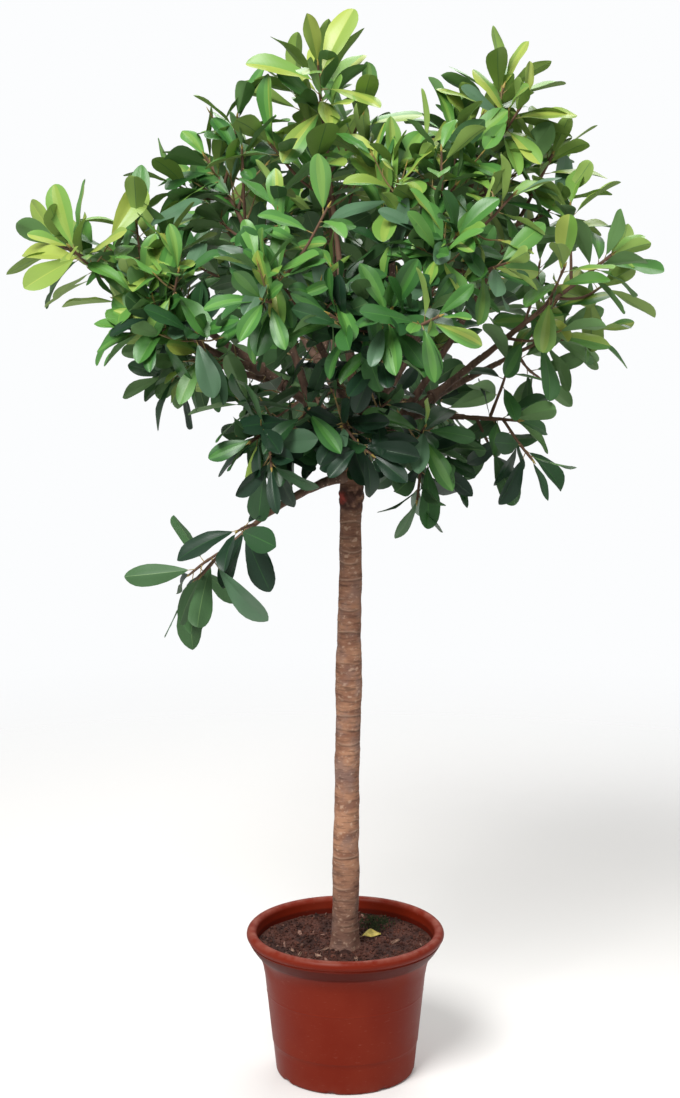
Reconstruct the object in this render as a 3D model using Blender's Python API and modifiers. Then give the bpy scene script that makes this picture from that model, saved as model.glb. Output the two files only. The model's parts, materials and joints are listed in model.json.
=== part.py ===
"""Potted ficus tree, grown as a standard: a bare stem with a round crown, in a plain nursery pot.

Units are metres and +Z is up. The origin is the centre of the pot's flat underside, and the
front of the tree faces -Y. The crown is a set of branches. The inner part of each branch is a
bough, and the rest is the stem of one mass of foliage, with side shoots and leaves fused to it.
"""

import math
import random
from collections import namedtuple

import bmesh
import bpy
from mathutils import Quaternion, Vector
from mathutils.kdtree import KDTree

# Driving sizes of the pot, whose radii are those of its outer side
POT_FACETS = 32
RIM_RADIUS = 0.1700
RIM_ROLL = 0.0087
RIM_HEIGHT = 0.2458
GROOVE_RADIUS, GROOVE_HEIGHT = 0.1645, 0.2365
COLLAR_TOP_RADIUS, COLLAR_TOP_HEIGHT = 0.1655, 0.2350
COLLAR_FOOT_RADIUS, COLLAR_FOOT_HEIGHT = 0.1530, 0.2160
COVE_TOP_RADIUS, COVE_TOP_HEIGHT = 0.1512, 0.2145
COVE_CORNER_RADIUS, COVE_CORNER_HEIGHT = 0.1428, 0.2028
COVE_FOOT_RADIUS, COVE_FOOT_HEIGHT = 0.1405, 0.1860
COVE_STEPS = 3
BODY_RADIUS_AT_GROUND = 0.1205
BODY_FLARE = 0.1030
FOOT_STEP_HEIGHT, FOOT_STEP = 0.0555, 0.0008
FOOT_ROUNDING = 0.0060
WALL = 0.0030
FLOOR = 0.0040
FLOOR_CORNER = 0.0020
RIM_TUCK = 0.0006

# Driving sizes of the soil
SOIL_AT_STEM = 0.2190
SOIL_AT_WALL = 0.2262
STEM_FLAT_RADIUS = 0.0450

# The gap between solids that touch, the wider one between round sides with flat facets, and
# the distance at which points are one
GAP = 0.0003
ROUND_GAP = 0.00045
WELD = 0.00001

# Driving sizes of the trunk: height, sideways lean, and radius at each height
TRUNK_FACETS = 12
TRUNK = (
    (SOIL_AT_STEM + GAP, 0.0000, 0.0262),
    (0.2320, 0.0000, 0.0240),
    (0.2600, 0.0004, 0.0230),
    (0.3400, 0.0010, 0.0224),
    (0.4300, 0.0018, 0.0221),
    (0.5200, 0.0032, 0.0215),
    (0.5900, 0.0044, 0.0212),
    (0.6450, 0.0052, 0.0220),
    (0.7300, 0.0062, 0.0210),
    (0.8300, 0.0078, 0.0196),
    (0.9300, 0.0090, 0.0190),
    (0.9850, 0.0092, 0.0192),
    (1.0060, 0.0094, 0.0216),
    (1.0280, 0.0104, 0.0198),
    (1.0700, 0.0160, 0.0190),
    (1.1100, 0.0228, 0.0178),
    (1.1500, 0.0280, 0.0150),
)

# Driving sizes of boughs, stems and shoots
PATH_STEPS = 8
BOUGH_STEPS = 4
BOUGH_FACETS = 6
FIRST_ORDER_RADII = (0.0098, 0.0056)
SECOND_ORDER_RADII = (0.0072, 0.0046)
BOUGH_TAPER = 0.7
STEM_SEAT = 0.0050
STEM_TIP_RADIUS = 0.0026
SHOOT_FACETS = 3
SHOOT_STEPS = 2
SHOOT_RADII = (0.0028, 0.0020)
SHOOT_LENGTH = 0.125

# Where side shoots leave a stem, as shares of its length, and how they turn up to the light
FIRST_SHOOT = 0.08
SHOOT_STRETCH = 0.72
SHOOT_TILT = (48.0, 72.0)
SHOOT_VARIETY = (0.70, 1.15)
SHARE_SCATTER = 0.05
SHOOT_TURN_SCATTER = 0.3
OUTER_SHORTENING = 0.25
LIGHT_PULL = 0.45

# Driving sizes of leaves, whose width, thickness and broadest place are shares of the length
LEAF_LENGTH = 0.102
LEAF_WIDTH = 0.34
LEAF_THICKNESS = 0.035
LEAF_SHOULDER = 0.64
LEAF_SEAT = 0.0030
LEAF_BEND = (8.0, 38.0)
LEAF_ROLL = 32.0
FACE_INWARD = 0.8
FACE_UPWARD = (0.35, 0.84)

# A direction that no shoot takes, from which turns round a shoot are counted
SLANT = Vector((0.31, 0.93, 0.17))

# How the leaves stand in a rosette: the youngest is near its tip and close to its axis
GOLDEN_TURN = math.radians(137.5)
ROSETTE_START = 0.0020
ROSETTE_DEPTH = 0.0420
ROSETTE_LEAVES = (5, 6, 7)
YOUNG_SPREAD = 16.0
OLD_SPREAD = 58.0
HANGING_SPREAD = 40.0
SPREAD_POWER = 0.8
SPREAD_SCATTER = 10.0
TURN_SCATTER = 0.25
YOUNG_SIZE = 0.80
SIZE_SCATTER = (0.82, 1.12)
SHOOT_VIGOUR = 0.95
LONE_LEAF_BACK = 0.65
LONE_LEAF_SPREAD = (60.0, 90.0)
LONE_LEAF_SIZE = (0.80, 1.05)

# Room that a leaf or a shoot keeps to the limbs, to the next mass and to its neighbours
LIMB_ROOM = 0.0025
SPACE_ROOM = 0.0015
SHOOT_ROOM = 0.0220
LEAF_ROOM = 0.0360
LIMB_REACH = 0.0300
SAMPLE_SPACING = 0.0060

# Each branch: the limb it grows from and where along it, where its leading shoot ends, how far
# it arches up, its side shoots, the leaves round its tip, its pull of gravity, the size of its
# leaves beside the common one, and its seed
Branch = namedtuple(
    "Branch", "name parent share azimuth reach height arch shoots leaves weight vigour seed"
)
BRANCHES = (
    Branch("top_left", "trunk", 1.00, 150, 0.050, 1.680, 0.00, 5, 11, 0.00, 1.20, 40),
    Branch("top_right", "trunk", 0.955, 11, 0.262, 1.672, -0.05, 5, 11, 0.00, 1.20, 28),
    Branch("right_arm", "trunk", 0.915, 356, 0.430, 1.405, 0.00, 5, 9, 0.05, 1.15, 13),
    Branch("left_arm", "trunk", 0.94, 180, 0.465, 1.420, 0.02, 5, 9, 0.05, 1.20, 15),
    Branch("front_left", "trunk", 0.955, 249, 0.333, 1.398, 0.03, 5, 10, 0.10, 0.95, 67),
    Branch("back_left", "trunk", 0.965, 120, 0.415, 1.433, 0.01, 5, 10, 0.10, 1.05, 40),
    Branch("back_right", "trunk", 0.91, 56, 0.434, 1.415, 0.02, 5, 10, 0.10, 1.05, 1),
    Branch("centre_front", "trunk", 0.925, 282, 0.327, 1.337, 0.02, 5, 10, 0.10, 0.95, 98),
    Branch("low_right", "trunk", 0.88, 322, 0.180, 1.075, 0.04, 3, 8, 0.45, 1.00, 46),
    Branch("droop", "trunk", 0.885, 202, 0.265, 0.880, 0.03, 2, 4, 0.55, 1.35, 56),
    Branch("low_left", "trunk", 0.915, 222, 0.204, 1.114, 0.04, 3, 8, 0.35, 1.05, 50),
    Branch("back_low", "trunk", 0.89, 109, 0.297, 1.154, 0.04, 3, 8, 0.30, 1.00, 59),
    Branch("low_front", "centre_front", 0.20, 268, 0.185, 1.145, 0.00, 3, 8, 0.20, 0.90, 77),
    Branch("upper_left", "left_arm", 0.17, 165, 0.238, 1.560, 0.04, 5, 10, 0.00, 1.05, 104),
    Branch("left_low", "left_arm", 0.34, 201, 0.331, 1.338, -0.02, 4, 9, 0.15, 1.00, 31),
    Branch("left_hang", "left_arm", 0.26, 157, 0.320, 1.236, 0.00, 3, 8, 0.25, 1.05, 36),
    Branch("upper_mid", "top_right", 0.18, 301, 0.140, 1.548, 0.03, 4, 10, 0.00, 1.05, 114),
    Branch("front_right", "top_right", 0.30, 305, 0.294, 1.444, 0.01, 5, 10, 0.10, 0.95, 80),
    Branch("upper_right", "right_arm", 0.16, 10, 0.345, 1.565, -0.02, 4, 9, 0.00, 1.10, 115),
    Branch("right", "right_arm", 0.30, 20, 0.390, 1.270, 0.00, 4, 9, 0.20, 1.00, 49),
    Branch("right_low", "right_arm", 0.22, 351, 0.285, 1.138, 0.00, 3, 8, 0.35, 1.00, 89),
    Branch("back_high", "back_left", 0.18, 97, 0.222, 1.548, 0.03, 4, 10, 0.00, 1.05, 110),
    Branch("back", "back_left", 0.30, 89, 0.430, 1.394, 0.00, 5, 10, 0.10, 1.05, 2),
    Branch("back_low_right", "back_right", 0.22, 62, 0.300, 1.150, 0.00, 3, 8, 0.30, 1.00, 36),
)

# Colours as the eye sees them, as sRGB shares of red, green and blue, with a roughness
POT_FINISH = ((0.467, 0.165, 0.114), 0.45)
SOIL_FINISH = ((0.26, 0.17, 0.13), 0.95)
BARK_FINISH = ((0.60, 0.46, 0.37), 0.85)
LEAF_FINISHES = (
    ((0.20, 0.37, 0.14), 0.40),
    ((0.27, 0.45, 0.18), 0.40),
    ((0.36, 0.52, 0.25), 0.40),
)

Leaf = namedtuple("Leaf", "base aim face length bend")
Shoot = namedtuple("Shoot", "points radii leaves")


def linear(colour):
    """The linear value of an sRGB colour."""
    return tuple(c / 12.92 if c < 0.04045 else ((c + 0.055) / 1.055) ** 2.4 for c in colour)


def material(name, finish):
    """A Principled material of that colour and roughness."""
    colour, roughness = finish
    made = bpy.data.materials.new(name)
    made.use_nodes = True
    shader = made.node_tree.nodes["Principled BSDF"]
    shader.inputs["Base Color"].default_value = (*linear(colour), 1.0)
    shader.inputs["Roughness"].default_value = roughness
    shader.inputs["Metallic"].default_value = 0.0
    made.diffuse_color = (*linear(colour), 1.0)
    return made


def clear_scene():
    """Removes what the file held."""
    for thing in list(bpy.data.objects):
        bpy.data.objects.remove(thing, do_unlink=True)


def collection(name):
    """A new collection in the scene."""
    made = bpy.data.collections.new(name)
    bpy.context.scene.collection.children.link(made)
    return made


def add_object(name, data, home):
    """An object with that data in that collection."""
    made = bpy.data.objects.new(name, data)
    home.objects.link(made)
    return made


def remove(thing):
    """Removes an object together with its data."""
    data = thing.data
    bpy.data.objects.remove(thing, do_unlink=True)
    if isinstance(data, bpy.types.Mesh):
        bpy.data.meshes.remove(data)
    else:
        bpy.data.curves.remove(data)


def arc(centre, radius, start, end, steps):
    """Points of an arc in the profile's plane, from one angle to another in degrees."""
    angles = [math.radians(start + (end - start) * i / steps) for i in range(steps + 1)]
    return [(centre[0] + radius * math.cos(a), centre[1] + radius * math.sin(a)) for a in angles]


def turned(name, profile, home, finish):
    """A solid turned about the Z axis from a profile that runs down its outer side."""
    mesh = bpy.data.meshes.new(name)
    edges = [(i, i + 1) for i in range(len(profile) - 1)]
    mesh.from_pydata([(r, 0.0, z) for r, z in profile], edges, [])
    made = add_object(name, mesh, home)
    mesh.materials.append(finish)
    screw = made.modifiers.new("turn", "SCREW")
    screw.steps = POT_FACETS
    screw.render_steps = POT_FACETS
    screw.use_merge_vertices = True
    screw.merge_threshold = WELD
    screw.use_smooth_shade = True
    return made


def body_radius(height):
    """Outer radius of the pot's tapering body."""
    return BODY_RADIUS_AT_GROUND + BODY_FLARE * height


def inner_wall():
    """Radius and height along the pot's inner side, from the floor up to the roll of the rim."""
    return [
        (body_radius(FLOOR) - WALL - FLOOR_CORNER, FLOOR),
        (body_radius(FLOOR + FLOOR_CORNER) - WALL, FLOOR + FLOOR_CORNER),
        (COVE_FOOT_RADIUS - WALL, COVE_FOOT_HEIGHT),
        (COVE_TOP_RADIUS - WALL, COVE_TOP_HEIGHT),
        (RIM_RADIUS - 2 * RIM_ROLL - RIM_TUCK, SOIL_AT_WALL),
    ]


def cove():
    """Radius and height along the hollow curve under the collar, which rounds off a corner."""
    points = []
    for i in range(COVE_STEPS + 1):
        t = i / COVE_STEPS
        top, corner, foot = (1 - t) ** 2, 2 * t * (1 - t), t * t
        radius = top * COVE_TOP_RADIUS + corner * COVE_CORNER_RADIUS + foot * COVE_FOOT_RADIUS
        height = top * COVE_TOP_HEIGHT + corner * COVE_CORNER_HEIGHT + foot * COVE_FOOT_HEIGHT
        points.append((radius, height))
    return points


def make_pot(home, finish):
    """The pot: floor, tapering wall, flared collar and rolled rim, as one turned shell."""
    roll_centre = (RIM_RADIUS - RIM_ROLL, RIM_HEIGHT)
    collar = [
        (GROOVE_RADIUS, GROOVE_HEIGHT),
        (COLLAR_TOP_RADIUS, COLLAR_TOP_HEIGHT),
        (COLLAR_FOOT_RADIUS, COLLAR_FOOT_HEIGHT),
    ]
    step = [
        (body_radius(FOOT_STEP_HEIGHT), FOOT_STEP_HEIGHT),
        (body_radius(FOOT_STEP_HEIGHT) - FOOT_STEP, FOOT_STEP_HEIGHT - 2 * FOOT_STEP),
    ]
    foot_centre = (body_radius(FOOT_ROUNDING) - FOOT_STEP - FOOT_ROUNDING, FOOT_ROUNDING)
    profile = [(0.0, FLOOR)]
    profile += inner_wall()
    profile += arc(roll_centre, RIM_ROLL, 180, -60, 7)
    profile += collar + cove() + step
    profile += arc(foot_centre, FOOT_ROUNDING, 0, -90, 2)
    profile += [(0.0, 0.0)]
    return turned("pot", profile, home, finish)


def make_soil(home, finish):
    """The soil: it fills the pot, dips a little towards the stem and is flat under it."""
    side = [(r - ROUND_GAP, z) for r, z in inner_wall()]
    bottom = [(r, z + GAP) for r, z in side[:1]]
    top = [(STEM_FLAT_RADIUS, SOIL_AT_STEM), (0.0, SOIL_AT_STEM)]
    profile = top[::-1] + side[:0:-1] + bottom + [(0.0, FLOOR + GAP)]
    return turned("soil", profile, home, finish)


def along(points, share):
    """The point and the direction at a share of a path's length."""
    left = share * sum((b - a).length for a, b in zip(points, points[1:]))
    for a, b in zip(points, points[1:]):
        length = (b - a).length
        if left <= length:
            break
        left -= length
    way = (b - a).normalized()
    return a + way * min(left, length), way


def trunk_path():
    """The trunk's centreline."""
    return [Vector((lean, 0.0, height)) for height, lean, _ in TRUNK]


def branch_path(branch, paths):
    """A branch's centreline: one arching curve from its parent limb to its leading shoot's tip."""
    root = along(paths[branch.parent], branch.share)[0]
    turn = math.radians(branch.azimuth)
    tip = Vector((branch.reach * math.cos(turn), branch.reach * math.sin(turn), branch.height))
    knee = root.lerp(tip, 0.5) + Vector((0.0, 0.0, 2.0 * branch.arch))
    shares = [i / PATH_STEPS for i in range(PATH_STEPS + 1)]
    return [root.lerp(knee, t).lerp(knee.lerp(tip, t), t) for t in shares]


def all_paths():
    """The centrelines of the trunk and of every branch."""
    paths = {"trunk": trunk_path()}
    for branch in BRANCHES:
        paths[branch.name] = branch_path(branch, paths)
    return paths


def around(axis, turn):
    """A direction square to an axis, at that turn round it."""
    start = axis.cross(SLANT).normalized()
    return Quaternion(axis, turn) @ start


def leaf_on(rng, points, back, turn, spread, size, weight):
    """A leaf that leaves a shoot at a distance back from its tip."""
    length = sum((b - a).length for a, b in zip(points, points[1:]))
    base, axis = along(points, 1.0 - back / length)
    side = around(axis, turn)
    aim = axis * math.cos(spread) + side * math.sin(spread)
    aim.z -= weight * math.sin(spread)
    aim.normalize()
    face = (axis - aim * axis.dot(aim)).normalized()
    face = face * FACE_INWARD + Vector((0.0, 0.0, rng.uniform(*FACE_UPWARD)))
    face = (face - aim * face.dot(aim)).normalized()
    face = Quaternion(aim, math.radians(rng.uniform(-LEAF_ROLL, LEAF_ROLL))) @ face
    bend = math.radians(rng.uniform(*LEAF_BEND))
    return Leaf(base - axis * LEAF_SEAT, aim, face, LEAF_LENGTH * size, bend)


def rosette(rng, points, count, weight, vigour):
    """Leaves in a close spiral round the end of a shoot, the youngest upright at its tip."""
    leaves = []
    start = rng.uniform(0.0, math.tau)
    for k in range(count):
        age = k / (count - 1)
        back = ROSETTE_START + ROSETTE_DEPTH * age
        turn = start + k * GOLDEN_TURN + rng.uniform(-TURN_SCATTER, TURN_SCATTER)
        opening = (OLD_SPREAD + HANGING_SPREAD * weight) * age ** SPREAD_POWER
        scatter = rng.uniform(-SPREAD_SCATTER, SPREAD_SCATTER)
        spread = math.radians(YOUNG_SPREAD + opening + scatter)
        growth = YOUNG_SIZE + (1.0 - YOUNG_SIZE) * min(1.0, age * 4)
        size = vigour * growth * rng.uniform(*SIZE_SCATTER)
        leaves.append(leaf_on(rng, points, back, turn, spread, size, weight))
    return leaves


def stem_of(branch, path):
    """The outer part of a branch, which is the stem of its mass, with the leaves round its tip."""
    rng = random.Random(branch.seed * 100)
    root = path[BOUGH_STEPS]
    seat = (root - path[BOUGH_STEPS - 1]).normalized()
    points = [root + seat * GAP, root + seat * STEM_SEAT] + path[BOUGH_STEPS + 1:]
    thick = (FIRST_ORDER_RADII if branch.parent == "trunk" else SECOND_ORDER_RADII)[1]
    last = len(points) - 1
    radii = [thick + (STEM_TIP_RADIUS - thick) * i / last for i in range(last + 1)]
    leaves = rosette(rng, points, branch.leaves, branch.weight, branch.vigour)
    return Shoot(points, radii, leaves)


def side_shoot(branch, stem, number):
    """A side shoot of a mass: it leaves the stem, curves up to the light and ends in a rosette."""
    rng = random.Random(branch.seed * 100 + number)
    share = FIRST_SHOOT + SHOOT_STRETCH * (number - 0.5) / branch.shoots
    share += rng.uniform(-SHARE_SCATTER, SHARE_SCATTER)
    root, axis = along(stem.points, share)
    turn = branch.seed + number * GOLDEN_TURN
    turn += rng.uniform(-SHOOT_TURN_SCATTER, SHOOT_TURN_SCATTER)
    tilt = math.radians(rng.uniform(*SHOOT_TILT))
    way = axis * math.cos(tilt) + around(axis, turn) * math.sin(tilt)
    length = SHOOT_LENGTH * rng.uniform(*SHOOT_VARIETY) * (1.0 - OUTER_SHORTENING * share)
    rise = Vector((0.0, 0.0, (LIGHT_PULL - branch.weight) * length))
    points = []
    for i in range(SHOOT_STEPS + 1):
        t = i / SHOOT_STEPS
        points.append(root + way * (length * t) + rise * (t * t))
    thick, thin = SHOOT_RADII
    radii = [thick + (thin - thick) * i / SHOOT_STEPS for i in range(SHOOT_STEPS + 1)]
    count = rng.choice(ROSETTE_LEAVES)
    leaves = rosette(rng, points, count, branch.weight, branch.vigour * SHOOT_VIGOUR)
    turn = rng.uniform(0.0, math.tau)
    spread = math.radians(rng.uniform(*LONE_LEAF_SPREAD))
    size = branch.vigour * rng.uniform(*LONE_LEAF_SIZE)
    leaves.append(leaf_on(rng, points, LONE_LEAF_BACK * length, turn, spread, size, branch.weight))
    return Shoot(points, radii, leaves)


def leaf_line(leaf, share):
    """The point and the facing at a share of a leaf's midrib, which bends evenly away from its face."""
    angle = leaf.bend * share
    reach = leaf.length / leaf.bend
    point = leaf.base + leaf.aim * (reach * math.sin(angle)) - leaf.face * (reach * (1 - math.cos(angle)))
    return point, leaf.face * math.cos(angle) + leaf.aim * math.sin(angle)


def leaf_outline(leaf):
    """Points on a leaf's midrib and edges, to test it by."""
    side = leaf.aim.cross(leaf.face)
    half = leaf.length * LEAF_WIDTH / 2
    outline = []
    for share in (0.15, 0.32, 0.48, LEAF_SHOULDER, 0.82, 1.0):
        wide = min(share / LEAF_SHOULDER, (1.0 - share) / (1.0 - LEAF_SHOULDER))
        centre = leaf_line(leaf, share)[0]
        outline.append(centre)
        outline.append(centre + side * (half * wide))
        outline.append(centre - side * (half * wide))
    return outline


def limb_radii(branch, count):
    """Radii along a bough, from its root to its tip."""
    thick, thin = FIRST_ORDER_RADII if branch.parent == "trunk" else SECOND_ORDER_RADII
    return [thick + (thin - thick) * (i / (count - 1)) ** BOUGH_TAPER for i in range(count)]


def bough_points(path):
    """The inner part of a branch, which is its bough."""
    return path[: BOUGH_STEPS + 1]


class Room:
    """Points with a radius and an owner, which answers who is near a point."""

    def __init__(self, rows):
        self.rows = rows
        self.tree = KDTree(len(rows))
        for i, row in enumerate(rows):
            self.tree.insert(row[0], i)
        self.tree.balance()

    def touches(self, point, room):
        """Whether a point lies in, or nearer than its room to, something here."""
        near = self.tree.find_range(point, LIMB_REACH + room)
        return any(far < self.rows[i][1] + room for _, i, far in near)

    def distance(self, point):
        """The distance to the nearest point here."""
        return self.tree.find(point)[2]


def samples(points, radii):
    """Points close together along a limb, each with the limb's radius there."""
    found = []
    for a, b, ra, rb in zip(points, points[1:], radii, radii[1:]):
        count = max(1, round((b - a).length / SAMPLE_SPACING))
        found += [(a.lerp(b, i / count), ra + (rb - ra) * i / count) for i in range(count)]
    found.append((points[-1], radii[-1]))
    return found


def all_limbs(paths):
    """Samples of the trunk and of every bough."""
    rows = samples(trunk_path(), [radius for _, _, radius in TRUNK])
    for branch in BRANCHES:
        points = bough_points(paths[branch.name])
        rows += samples(points, limb_radii(branch, len(points)))
    return Room(rows)


def grow_shoots(paths, limbs):
    """Every mass's stem, and the side shoots that keep clear of the limbs and of other masses."""
    shoots = {b.name: [stem_of(b, paths[b.name])] for b in BRANCHES}
    for branch in BRANCHES:
        own = shoots[branch.name]
        for number in range(1, branch.shoots + 1):
            shoot = side_shoot(branch, own[0], number)
            others = [s for name, kept in shoots.items() if name != branch.name for s in kept]
            rest = Room([row for s in others for row in samples(s.points, s.radii)])
            test = [p for p, _ in samples(shoot.points, shoot.radii)]
            crowded = any(rest.distance(p) < SHOOT_ROOM for p in test)
            if not crowded and not any(limbs.touches(p, LIMB_ROOM + SHOOT_RADII[0]) for p in test[1:]):
                own.append(shoot)
    return shoots


def keep_to_space(shoots, limbs):
    """Drops each leaf that touches a limb, lies on another, or leaves its own mass's space."""
    rows = {n: [row for s in kept for row in samples(s.points, s.radii)] for n, kept in shoots.items()}
    kept_shoots = {}
    for name, own in shoots.items():
        mine = Room(rows[name])
        rest = Room([row for other, found in rows.items() if other != name for row in found])
        middles = []

        def fits(leaf):
            for point in leaf_outline(leaf):
                if mine.distance(point) + SPACE_ROOM > rest.distance(point) - SPACE_ROOM:
                    return False
                if limbs.touches(point, LIMB_ROOM):
                    return False
            middle = leaf_line(leaf, LEAF_SHOULDER)[0]
            if any((middle - other).length < LEAF_ROOM for other in middles):
                return False
            middles.append(middle)
            return True

        kept_shoots[name] = [s._replace(leaves=[l for l in s.leaves if fits(l)]) for s in own]
    return kept_shoots


def ring_curve(sides, home):
    """A closed outline of unit radius with few sides, as the section of a slim tube."""
    curve = bpy.data.curves.new("section", "CURVE")
    curve.dimensions = "2D"
    spline = curve.splines.new("POLY")
    spline.points.add(sides - 1)
    for i, point in enumerate(spline.points):
        turn = -math.tau * i / sides
        point.co = (math.cos(turn), math.sin(turn), 0.0, 1.0)
    spline.use_cyclic_u = True
    return add_object("section", curve, home)


def tube(name, points, radii, facets, home, section=None):
    """A closed tapering tube along points, as a mesh object with its caps welded."""
    curve = bpy.data.curves.new(name, "CURVE")
    curve.dimensions = "3D"
    curve.use_fill_caps = True
    if section is None:
        curve.bevel_depth = 1.0
        curve.bevel_resolution = (facets - 4) // 2
    else:
        curve.bevel_mode = "OBJECT"
        curve.bevel_object = section
    spline = curve.splines.new("POLY")
    spline.points.add(len(points) - 1)
    for knot, point, radius in zip(spline.points, points, radii):
        knot.co = (*point, 1.0)
        knot.radius = radius
    rail = add_object(name + "_rail", curve, home)
    bpy.context.view_layer.update()
    graph = bpy.context.evaluated_depsgraph_get()
    mesh = bpy.data.meshes.new_from_object(rail.evaluated_get(graph))
    mesh.name = name
    body = bmesh.new()
    body.from_mesh(mesh)
    bmesh.ops.remove_doubles(body, verts=body.verts, dist=WELD)
    body.to_mesh(mesh)
    body.free()
    mesh.materials.clear()
    mesh.shade_smooth()
    mesh.set_sharp_from_angle(angle=math.radians(50))
    remove(rail)
    return add_object(name, mesh, home)


def leaf_blade(name, leaf, home):
    """A leaf as a closed solid of eight faces: pointed root, broad shoulder, and a ridge each side."""
    mesh = bpy.data.meshes.new(name)
    body = bmesh.new()
    bmesh.ops.create_uvsphere(body, u_segments=4, v_segments=2, radius=1.0)
    side = leaf.face.cross(leaf.aim)
    root = leaf_line(leaf, 0.0)[0]
    tip = leaf_line(leaf, 1.0)[0]
    shoulder, face = leaf_line(leaf, LEAF_SHOULDER)
    half_width = leaf.length * LEAF_WIDTH / 2
    half_depth = leaf.length * LEAF_THICKNESS / 2
    for vert in body.verts:
        x, y, z = vert.co
        if z > 0.5:
            vert.co = tip
        elif z < -0.5:
            vert.co = root
        else:
            vert.co = shoulder + side * (half_width * x) + face * (half_depth * y)
    body.to_mesh(mesh)
    body.free()
    return add_object(name, mesh, home)


def keep_largest(mesh):
    """Keeps the largest shell of a mesh, which drops loose scraps and fills sealed hollows."""
    body = bmesh.new()
    body.from_mesh(mesh)
    body.faces.ensure_lookup_table()
    seen = set()
    shells = []
    for start in body.faces:
        if start.index in seen:
            continue
        shell = []
        queue = [start]
        seen.add(start.index)
        while queue:
            face = queue.pop()
            shell.append(face)
            for edge in face.edges:
                for other in edge.link_faces:
                    if other.index not in seen:
                        seen.add(other.index)
                        queue.append(other)
        shells.append(shell)
    shells.sort(key=lambda shell: sum(face.calc_area() for face in shell))
    scraps = [face for shell in shells[:-1] for face in shell]
    bmesh.ops.delete(body, geom=scraps, context="FACES")
    body.to_mesh(mesh)
    body.free()
    return len(shells) - 1


def cut_by(piece, cutter):
    """Cuts one solid's shape out of another and makes the cut final."""
    cut = piece.modifiers.new("saddle", "BOOLEAN")
    cut.operation = "DIFFERENCE"
    cut.object = cutter
    settle(piece)


def settle(piece):
    """Puts what the modifiers of an object show into its mesh, and removes them."""
    bpy.context.view_layer.update()
    graph = bpy.context.evaluated_depsgraph_get()
    mesh = bpy.data.meshes.new_from_object(piece.evaluated_get(graph))
    mesh.name = piece.name
    piece.modifiers.clear()
    old = piece.data
    piece.data = mesh
    bpy.data.meshes.remove(old)


def widened(name, points, radii, facets, home):
    """A copy of a limb that is one gap larger all round, to cut what grows from it."""
    longer = [p.copy() for p in points]
    longer[0] = longer[0] - (points[1] - points[0]).normalized() * GAP
    longer[-1] = longer[-1] + (points[-1] - points[-2]).normalized() * GAP
    return tube(name, longer, [r + ROUND_GAP for r in radii], facets, home)


def make_trunk(home, finish):
    """The trunk, from its flat cut at the soil up to the fork."""
    made = tube("trunk", trunk_path(), [radius for _, _, radius in TRUNK], TRUNK_FACETS, home)
    made.data.materials.append(finish)
    return made


def make_boughs(paths, home, cutters, finish):
    """Every bough, seated on the limb it grows from."""
    trunk_cutter = widened("trunk_cutter", trunk_path(), [r for _, _, r in TRUNK], TRUNK_FACETS, cutters)
    sockets = {"trunk": trunk_cutter}
    for branch in BRANCHES:
        points = bough_points(paths[branch.name])
        radii = limb_radii(branch, len(points))
        bough = tube("bough_" + branch.name, points, radii, BOUGH_FACETS, home)
        cut_by(bough, sockets[branch.parent])
        keep_largest(bough.data)
        bough.data.materials.clear()
        bough.data.materials.append(finish)
        sockets[branch.name] = widened(branch.name + "_cutter", points, radii, BOUGH_FACETS, cutters)
    for socket in sockets.values():
        socket.hide_render = True
        socket.display_type = "WIRE"


def make_mass(name, shoots, home, finish):
    """One mass of foliage: its stem, side shoots and leaves fused into one solid."""
    parts = collection(name + "_parts")
    section = ring_curve(SHOOT_FACETS, bpy.context.scene.collection)
    stem = tube("foliage_" + name, shoots[0].points, shoots[0].radii, SHOOT_FACETS, home, section)
    for s, shoot in enumerate(shoots):
        if s > 0:
            tube(f"{name}_shoot_{s}", shoot.points, shoot.radii, SHOOT_FACETS, parts, section)
        for k, leaf in enumerate(shoot.leaves):
            leaf_blade(f"{name}_leaf_{s}_{k}", leaf, parts)
    fuse = stem.modifiers.new("fuse", "BOOLEAN")
    fuse.operation = "UNION"
    fuse.operand_type = "COLLECTION"
    fuse.collection = parts
    settle(stem)
    for piece in list(parts.objects):
        remove(piece)
    bpy.data.collections.remove(parts)
    remove(section)
    keep_largest(stem.data)
    stem.data.materials.clear()
    stem.data.materials.append(finish)
    return stem


def main():
    """Builds the plant and its pot."""
    clear_scene()
    parts = collection("potted_ficus_tree")
    cutters = collection("cutters")
    bark = material("bark", BARK_FINISH)
    make_pot(parts, material("pot_plastic", POT_FINISH))
    make_soil(parts, material("soil", SOIL_FINISH))
    make_trunk(parts, bark)
    paths = all_paths()
    make_boughs(paths, parts, cutters, bark)
    limbs = all_limbs(paths)
    shoots = keep_to_space(grow_shoots(paths, limbs), limbs)
    greens = [material(f"leaf_green_{i + 1}", f) for i, f in enumerate(LEAF_FINISHES)]
    for i, branch in enumerate(BRANCHES):
        make_mass(branch.name, shoots[branch.name], parts, greens[i % len(greens)])


if __name__ == "__main__":
    main()
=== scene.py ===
"""Dresses a potted ficus tree, grown as a standard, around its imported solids.

Units are metres, +Z is up and the front of the tree faces -Y. The growth rule places the trunk,
the boughs, the shoots and the leaves, and carries them on to finer twigs inside the same reach.
"""

import functools
import json
import logging
import math
import random
from collections.abc import Iterable, Sequence
from dataclasses import dataclass, field
from enum import Enum
from typing import ClassVar

import bpy
import numpy as np
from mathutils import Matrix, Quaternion, Vector
from mathutils.kdtree import KDTree

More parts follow.
